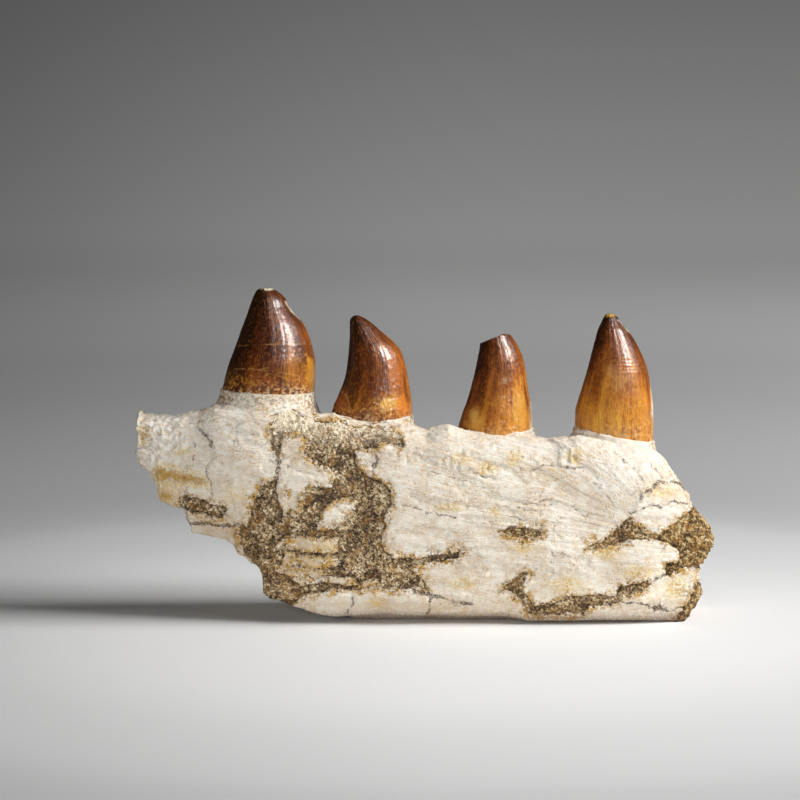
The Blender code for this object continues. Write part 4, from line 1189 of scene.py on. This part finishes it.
def enamel_paint(tooth, rings, angles, broken):
    """The colour of each point of a crown."""
    look = ENAMEL[tooth]
    across, down = seen(rings)
    rise = crown_rise(tooth, down)
    shade = enamel_shade(tooth, rings, angles, rise)
    tones = [(level, *linear(tone)) for level, tone in ENAMEL_TONES]
    paint = np.stack([looked_up([(row[0], row[k]) for row in tones], shade) for k in (1, 2, 3)], axis=-1)
    ragged = 0.6 * streaks(rings, angles, 1.1, 7.0, 74) + layers(rings, PATCH_EDGES, 75)
    for middle, level, half_width, half_height, colour, strength in look["patches"]:
        reach = np.hypot((across - middle) / half_width, (down - level) / half_height)
        paint = blended(paint, colour, strength * smooth(1.3 - reach + 0.9 * ragged, 0.0, 1.0))
    for width, *line in look["lines"]:
        distance = line_distance(across, down, line) / width
        tone, strength = (CREAM, 0.9) if width > 1.0 else (HAIRLINE, 0.6)
        paint = blended(paint, tone, strength * np.exp(-distance**2) * ramp(ragged, -0.5, 0.7))
    grit = layers(rings, GRIT_GRAINS, 77)
    # Golden grains near the base: partly the enamel's colour, partly painted glints.
    gold_and_glints = 0.75 * (1.0 - smooth(rise, 0.04, 0.24)) * smooth(grit, 0.05, 0.35)
    dusty = look["sand"] * (1.0 - smooth(rise, 0.0, 0.09)) * smooth(grit + ragged, 0.0, 0.4)
    gritty = look["sand"] * (1.0 - smooth(rise, 0.0, 0.12)) * smooth(-grit, 0.25, 0.2)
    rough_break = 0.85 * broken * ramp(ragged, -1.4, 1.4)
    for tone, share in ((GOLD_AND_GLINT, gold_and_glints), (DUST, dusty), (BROKEN, rough_break), (GRIT, gritty)):
        paint = blended(paint, tone, share)
    return paint


def blended(paint, colour, share):
    return paint + (linear(colour) - paint) * np.clip(share, 0.0, 1.0)[..., None]


def build_crown(tooth, material):
    levels = CROWNS[tooth]["levels"]
    angles = circle(CROWN_ROUND)
    body = crown_rings(tooth, np.linspace(levels[-1][0], levels[0][0], CROWN_RISE), angles)
    drops = np.linspace(1.0, 0.0, 9)[:-1, None]
    root = np.repeat(body[:1], len(drops), axis=0)
    root[..., 2] -= CROWN_ROOT * drops
    shares = np.linspace(1.0, 0.0, 18)[1:-1, None, None]
    centre = body[-1].mean(axis=0)
    cap = centre + (body[-1][None] - centre) * shares
    cap[..., 2] += TIP_RISE * np.ptp(body[-1, :, 0]) * (1.0 - shares[..., 0] ** 2)
    rings, broken = with_wear(tooth, np.concatenate([root, body, cap]), angles)
    paint = enamel_paint(tooth, rings, angles, broken)
    rough = np.maximum(0.75 * (1.0 - smooth(crown_rise(tooth, seen(rings)[1]), 0.02, 0.14)), broken)
    crown = closed_tube(tooth + "_crown", rings)
    for name, values in (("paint", paint), ("rough", rough)):
        ends = [values[0, 0], values[-1, 0]]
        store(crown, name, np.concatenate([values.reshape(-1, *values.shape[2:]), ends]))
    finish_piece(crown, tooth, material)


# Materials.

SAND_TONES = [
    (0.10, (48, 35, 25)), (0.32, (98, 76, 54)), (0.52, (148, 121, 87)), (0.70, (190, 168, 130)),
    (0.90, (232, 220, 194)),
]
STRAW_TONES = [(0.10, (50, 34, 17)), (0.34, (104, 77, 40)), (0.58, (154, 122, 70)), (0.92, (216, 194, 146))]
# The third colour is painted shade in the gaps at the rock's rim.
ROCK_OCHRE, ROCK_CRUST, ROCK_GAP_SHADE = (170, 120, 48), (232, 218, 194), (62, 42, 22)
# The third of these colours is partly painted shade, and the fourth partly painted light.
BONE_PALE, BONE_CREAM, TAN_AND_SHADE, WHITE_AND_LIGHT = (249, 241, 226), (234, 219, 200), (190, 162, 128), (248, 243, 233)
MOTTLE_DARK, MOTTLE_PALE, FIBRE_BROWN = (224, 198, 156), (248, 243, 232), (158, 130, 104)
FLECK_YELLOW, FLECK_BROWN = (222, 178, 92), (148, 106, 62)
OCHRE_PALE, OCHRE_DEEP, ROCK_RIM = (228, 194, 108), (192, 146, 44), (208, 158, 56)
# The last of these colours is painted shade along the jaw's bottom.
BREAK_FACE, CRACK_DIRT, UNDERSIDE_SHADE = (164, 128, 82), (82, 56, 28), (118, 86, 58)
STREAK_DARK, STREAK_PALE = (36, 13, 4), (222, 146, 62)


class Graph:
    """The node tree of a material or a world, with short ways to add to it."""

    def __init__(self, owner):
        owner.use_nodes = True
        self.owner = owner
        self.tree = owner.node_tree
        self.shader = self.tree.nodes.get("Principled BSDF")

    def feed(self, socket, value):
        if isinstance(value, bpy.types.NodeSocket):
            self.tree.links.new(value, socket)
        else:
            socket.default_value = value

    def node(self, kind, inputs, **settings):
        node = self.tree.nodes.new(kind)
        for name, value in settings.items():
            setattr(node, name, value)
        for key, value in inputs.items():
            self.feed(node.inputs[key], value)
        return node

    def stored(self, name, output="Fac"):
        return self.node("ShaderNodeAttribute", {}, attribute_name=name).outputs[output]

    def place(self, scale=(1.0, 1.0, 1.0)):
        """Where a point of the object is, in millimetres times scale."""
        spot = self.node("ShaderNodeTexCoord", {}).outputs["Object"]
        return self.scaled(spot, tuple(s / MM for s in scale))

    def scaled(self, vector, scale):
        inputs = {0: vector, 1: scale}
        return self.node("ShaderNodeVectorMath", inputs, operation="MULTIPLY").outputs[0]

    def noise(self, vector, scale, detail=3.0, roughness=0.6):
        inputs = {"Vector": vector, "Scale": scale, "Detail": detail, "Roughness": roughness}
        return self.node("ShaderNodeTexNoise", inputs).outputs["Fac"]

    def cells(self, vector, scale):
        """(a random number for each cell, the distance from its middle)."""
        found = self.node("ShaderNodeTexVoronoi", {"Vector": vector, "Scale": scale})
        number = self.node("ShaderNodeSeparateColor", {"Color": found.outputs["Color"]}).outputs[0]
        return number, found.outputs["Distance"]

    def sum(self, operation, first, second):
        return self.node("ShaderNodeMath", {0: first, 1: second}, operation=operation).outputs[0]

    def plus(self, first, second):
        return self.sum("ADD", first, second)

    def both(self, first, second):
        return self.sum("MULTIPLY", first, second)

    def step(self, value, low, high, start=0.0, end=1.0):
        inputs = {"Value": value, "From Min": low, "From Max": high, "To Min": start, "To Max": end}
        return self.node("ShaderNodeMapRange", inputs, interpolation_type="SMOOTHSTEP").outputs["Result"]

    def mix(self, share, first, second):
        node = self.node("ShaderNodeMix", {0: share}, data_type="RGBA")
        for socket, value in ((node.inputs[6], first), (node.inputs[7], second)):
            self.feed(socket, colour(value) if isinstance(value, tuple) else value)
        return node.outputs[2]

    def tones(self, value, stops):
        node = self.node("ShaderNodeValToRGB", {"Fac": value})
        elements = node.color_ramp.elements
        elements[0].position, elements[0].color = stops[0][0], colour(stops[0][1])
        elements[1].position, elements[1].color = stops[-1][0], colour(stops[-1][1])
        for position, tone in stops[1:-1]:
            elements.new(position).color = colour(tone)
        return node.outputs["Color"]

    def bump(self, height, strength, distance):
        inputs = {"Height": height, "Strength": strength, "Distance": distance * MM}
        self.feed(self.shader.inputs["Normal"], self.node("ShaderNodeBump", inputs).outputs["Normal"])


def colour(tone):
    return (*linear(tone), 1.0)


def sand_number(graph, spot):
    """A number for each grain of sand, low for the dark ones and high for the pale."""
    fine, coarse = graph.cells(spot, 1.5)[0], graph.cells(spot, 0.75)[0]
    number = graph.plus(graph.both(fine, 0.62), graph.both(coarse, 0.38))
    return graph.plus(number, graph.step(graph.noise(spot, 0.14, 2.0), 0.35, 0.65, -0.2, 0.12))


def rock_material():
    graph = Graph(bpy.data.materials.new("sandy_rock"))
    spot, pale = graph.place(), graph.stored("pale")
    number = graph.plus(sand_number(graph, spot), graph.both(pale, 0.3))
    sand, straw = graph.tones(number, SAND_TONES), graph.tones(number, STRAW_TONES)
    paint = graph.mix(graph.stored("tint"), sand, straw)
    paint = graph.mix(graph.step(graph.noise(spot, 0.22), 0.52, 0.68, 0.0, 0.5), paint, ROCK_OCHRE)
    crust = graph.step(graph.noise(spot, 0.5, 5.0, 0.7), 0.42, 0.60, 0.15, 0.95)
    paint = graph.mix(graph.both(pale, crust), paint, ROCK_CRUST)
    # Painted shade: darker where the rock sinks at its rim into the gap beside the bone, less where it is
    # pale.
    deep = graph.step(graph.stored("rock"), -0.5, 3.0, 0.5, 0.0)
    paint = graph.mix(graph.both(deep, graph.step(pale, 0.0, 0.8, 1.0, 0.0)), paint, ROCK_GAP_SHADE)
    graph.feed(graph.shader.inputs["Base Color"], paint)
    graph.shader.inputs["Roughness"].default_value = 0.95
    graph.bump(graph.cells(spot, 1.5)[1], 0.7, 0.4)
    return graph.owner


def fibre_noise(graph, scale, detail, roughness):
    """Noise that is drawn out along the bone's fibres."""
    return graph.noise(graph.scaled(graph.stored("fibre", "Vector"), scale), 1.0, detail, roughness)


def bone_ground(graph, spot, long_fibres, clouds, mottle):
    """The bone's colours: cream and brownish areas, mottling, fibres and flecks, with painted light among
    the pale patches and painted shade among the brownish ones.
    """
    short_fibres = fibre_noise(graph, (0.5, 2.2, 1.0), 3.0, 0.6)
    many = graph.step(clouds, 0.42, 0.58, 0.3, 1.0)
    yellow_flecks = graph.both(graph.step(short_fibres, 0.58, 0.65), many)
    brown_flecks = graph.both(graph.step(graph.noise(spot, 1.2, 3.0), 0.63, 0.68), many)
    paint = graph.mix(graph.step(clouds, 0.40, 0.60), BONE_PALE, BONE_CREAM)
    for share, tone in (
        # Brownish patches, partly painted shade along the lower lip.
        (graph.stored("tan"), TAN_AND_SHADE),
        # Pale patches, partly painted light on the left end.
        (graph.stored("white_and_light"), WHITE_AND_LIGHT),
        (graph.step(mottle, 0.48, 0.62, 0.0, 0.45), MOTTLE_DARK),
        (graph.step(mottle, 0.46, 0.34, 0.0, 0.6), MOTTLE_PALE),
        (graph.step(long_fibres, 0.54, 0.70, 0.0, 0.36), FIBRE_BROWN),
        (yellow_flecks, FLECK_YELLOW),
        (brown_flecks, FLECK_BROWN),
    ):
        paint = graph.mix(share, paint, tone)
    return paint


def with_ochre(graph, paint, spot, mottle):
    """The ochre stains, deeper and more closed where they are strong."""
    ochre = graph.stored("ochre")
    broken_up = graph.step(graph.noise(spot, 1.1, 5.0, 0.8), 0.45, 0.56, 0.05, 1.0)
    yellow = graph.mix(graph.step(ochre, 0.5, 1.1), OCHRE_PALE, OCHRE_DEEP)
    covered = graph.sum("MAXIMUM", broken_up, graph.step(ochre, 0.7, 1.4, 0.0, 0.85))
    stained = graph.both(graph.step(ochre, 0.04, 0.6), covered)
    return graph.mix(graph.both(stained, graph.step(mottle, 0.3, 0.5, 0.55, 1.0)), paint, yellow)


def with_dirt_and_shade(graph, paint, spot, mottle):
    """Sand and stains round the rock, on the broken faces and in the cracks, and painted shade along the
    bottom of the jaw.
    """
    sand = graph.tones(sand_number(graph, spot), SAND_TONES)
    wobble = graph.step(graph.noise(spot, 0.8, 3.0, 0.7), 0.3, 0.7, -1.6, 1.6)
    edge = graph.plus(graph.stored("rock"), wobble)
    wide = graph.plus(edge, graph.step(graph.noise(spot, 0.16, 2.0), 0.35, 0.65, -3.0, 3.0))
    rim = graph.step(wide, -8.0, -0.3)
    sprinkled = graph.step(graph.noise(spot, 1.0, 4.0, 0.7), 0.48, 0.58)
    patchy = graph.step(graph.noise(spot, 0.7, 4.0, 0.7), 0.45, 0.58, 0.0, 0.85)
    gritty = graph.step(graph.noise(spot, 1.8, 3.0, 0.7), 0.4, 0.56, 0.25, 1.0)
    for share, tone in (
        (graph.both(rim, graph.step(mottle, 0.42, 0.52)), ROCK_RIM),
        (graph.both(rim, sprinkled), sand),
        (graph.step(edge, -0.9, 0.2), sand),
        (graph.both(graph.stored("sandy"), patchy), sand),
        (graph.both(graph.stored("broken"), patchy), BREAK_FACE),
        (graph.both(graph.step(graph.stored("crack"), 0.1, 0.5), gritty), CRACK_DIRT),
        # Painted shade along the bottom of the jaw.
        (graph.both(graph.stored("underside_shade"), gritty), UNDERSIDE_SHADE),
    ):
        paint = graph.mix(share, paint, tone)
    return paint


def bone_material():
    graph = Graph(bpy.data.materials.new("weathered_bone"))
    spot = graph.place()
    long_fibres = fibre_noise(graph, (0.14, 1.3, 0.5), 5.0, 0.7)
    clouds, mottle = graph.noise(spot, 0.08, 4.0, 0.6), graph.noise(spot, 0.5, 6.0, 0.72)
    paint = bone_ground(graph, spot, long_fibres, clouds, mottle)
    paint = with_dirt_and_shade(graph, with_ochre(graph, paint, spot, mottle), spot, mottle)
    graph.feed(graph.shader.inputs["Base Color"], paint)
    graph.shader.inputs["Roughness"].default_value = 0.88
    graph.bump(graph.plus(graph.both(long_fibres, 0.9), graph.noise(spot, 1.6, 4.0, 0.7)), 1.0, 0.55)
    return graph.owner


def enamel_material():
    graph = Graph(bpy.data.materials.new("tooth_enamel"))
    fine = graph.noise(graph.place((2.0, 2.0, 0.08)), 1.0, 4.0, 0.6)
    dark, pale = graph.step(fine, 0.5, 0.7, 0.0, 0.5), graph.step(fine, 0.48, 0.3, 0.0, 0.3)
    streaked = graph.mix(dark, graph.stored("paint", "Color"), STREAK_DARK)
    graph.feed(graph.shader.inputs["Base Color"], graph.mix(pale, streaked, STREAK_PALE))
    rough = graph.stored("rough")
    graph.feed(graph.shader.inputs["Roughness"], graph.step(rough, 0.0, 1.0, 0.3, 0.9))
    graph.shader.inputs["Specular IOR Level"].default_value = 0.3
    graph.feed(graph.shader.inputs["Coat Weight"], graph.step(rough, 0.6, 1.0, 0.35, 0.0))
    graph.shader.inputs["Coat Roughness"].default_value = 0.16
    graph.bump(fine, 0.6, 0.4)
    return graph.owner


# The stage.

def build_stage():
    """A pale round floor with painted light falloff: greyer with distance and to the left, fading into the
    backdrop.
    """
    radii = np.concatenate([np.linspace(*ring)[1:] for ring in FLOOR_RINGS])
    angles = circle(FLOOR_ROUND)
    x = FLOOR_CENTRE[0] + radii[:, None] * np.cos(angles)
    y = FLOOR_CENTRE[1] + radii[:, None] * np.sin(angles)
    rings = np.stack([x, y, np.zeros_like(x)], axis=-1)
    faces = [*tube_faces(len(radii), FLOOR_ROUND).tolist(), list(range(FLOOR_ROUND))[::-1]]
    floor = new_object("floor", rings.reshape(-1, 3) / MM - SHIFT, faces)
    reach = np.repeat(radii, FLOOR_ROUND)
    shade = looked_up(FLOOR_FALLOFF, reach)
    store(floor, "shade", shade * (1.0 + FLOOR_DIM * np.clip(x.ravel(), DIM_TO, 0.0)))
    store(floor, "fade", smooth(reach, FLOOR_FADE[0], FLOOR_FADE[1] - FLOOR_FADE[0]))
    graph = Graph(bpy.data.materials.new("paper"))
    graph.feed(graph.shader.inputs["Base Color"], graph.stored("shade"))
    graph.feed(graph.shader.inputs["Alpha"], graph.sum("SUBTRACT", 1.0, graph.stored("fade")))
    graph.shader.inputs["Roughness"].default_value = 0.9
    floor.data.materials.append(graph.owner)


def area_light(name, azimuth, elevation, distance, size, watts):
    """A soft light that faces the jaw. Its azimuth is from the viewer towards the right, in degrees."""
    light = bpy.data.lights.new(name, "AREA")
    light.shape = "RECTANGLE"
    light.size, light.size_y = size
    light.energy = watts
    obj = bpy.data.objects.new(name, light)
    turn, rise = math.radians(azimuth), math.radians(elevation)
    away = Vector((math.sin(turn) * math.cos(rise), -math.cos(turn) * math.cos(rise), math.sin(rise)))
    obj.location = away * distance + Vector(LIGHT_AIM)
    obj.rotation_euler = away.to_track_quat("Z", "Y").to_euler()
    obj.visible_glossy, obj.visible_diffuse = name == SHINE, name != SHINE
    bpy.context.scene.collection.objects.link(obj)


def build_world():
    graph = Graph(bpy.data.worlds.new("studio"))
    towards = graph.node("ShaderNodeTexCoord", {}).outputs["Generated"]
    across, _, up = graph.node("ShaderNodeSeparateXYZ", {0: towards}).outputs
    backdrop = graph.both(graph.step(across, *BACKDROP_ACROSS), graph.step(up, *BACKDROP_UP))
    to_camera = graph.node("ShaderNodeLightPath", {}).outputs["Is Camera Ray"]
    background = graph.tree.nodes["Background"]
    graph.feed(background.inputs["Strength"], graph.plus(graph.both(to_camera, backdrop), AMBIENT))
    background.inputs["Color"].default_value = BACKDROP_COLOUR
    bpy.context.scene.world = graph.owner
    bpy.context.scene.view_settings.view_transform = "Standard"


def build_camera():
    camera = bpy.data.objects.new("camera", bpy.data.cameras.new("camera"))
    bpy.context.scene.collection.objects.link(camera)
    bpy.context.scene.camera = camera
    away = np.array([0.0, -EYE_COS, EYE_SIN]) * EYE_DISTANCE
    camera.location = Vector((np.array([AIM_X, 0.0, AIM_Z]) + away + SHIFT) * MM)
    camera.rotation_euler = (math.pi / 2 - EYE_ELEVATION, 0.0, 0.0)
    camera.data.sensor_width = SENSOR
    camera.data.lens = SENSOR * EYE_DISTANCE / UNIT / PICTURE_WIDTH


def main():
    build_camera()
    build_stage()
    build_world()
    for light in LIGHTS:
        area_light(*light)
    bone, rock, enamel = bone_material(), rock_material(), enamel_material()
    build_bone(bone)
    for name, spec in ROCKS.items():
        build_rock(name, spec, rock)
    for tooth in CROWNS:
        build_crown(tooth, enamel)
        build_collar(tooth, bone)


SHIFT = frame_shift()
main()
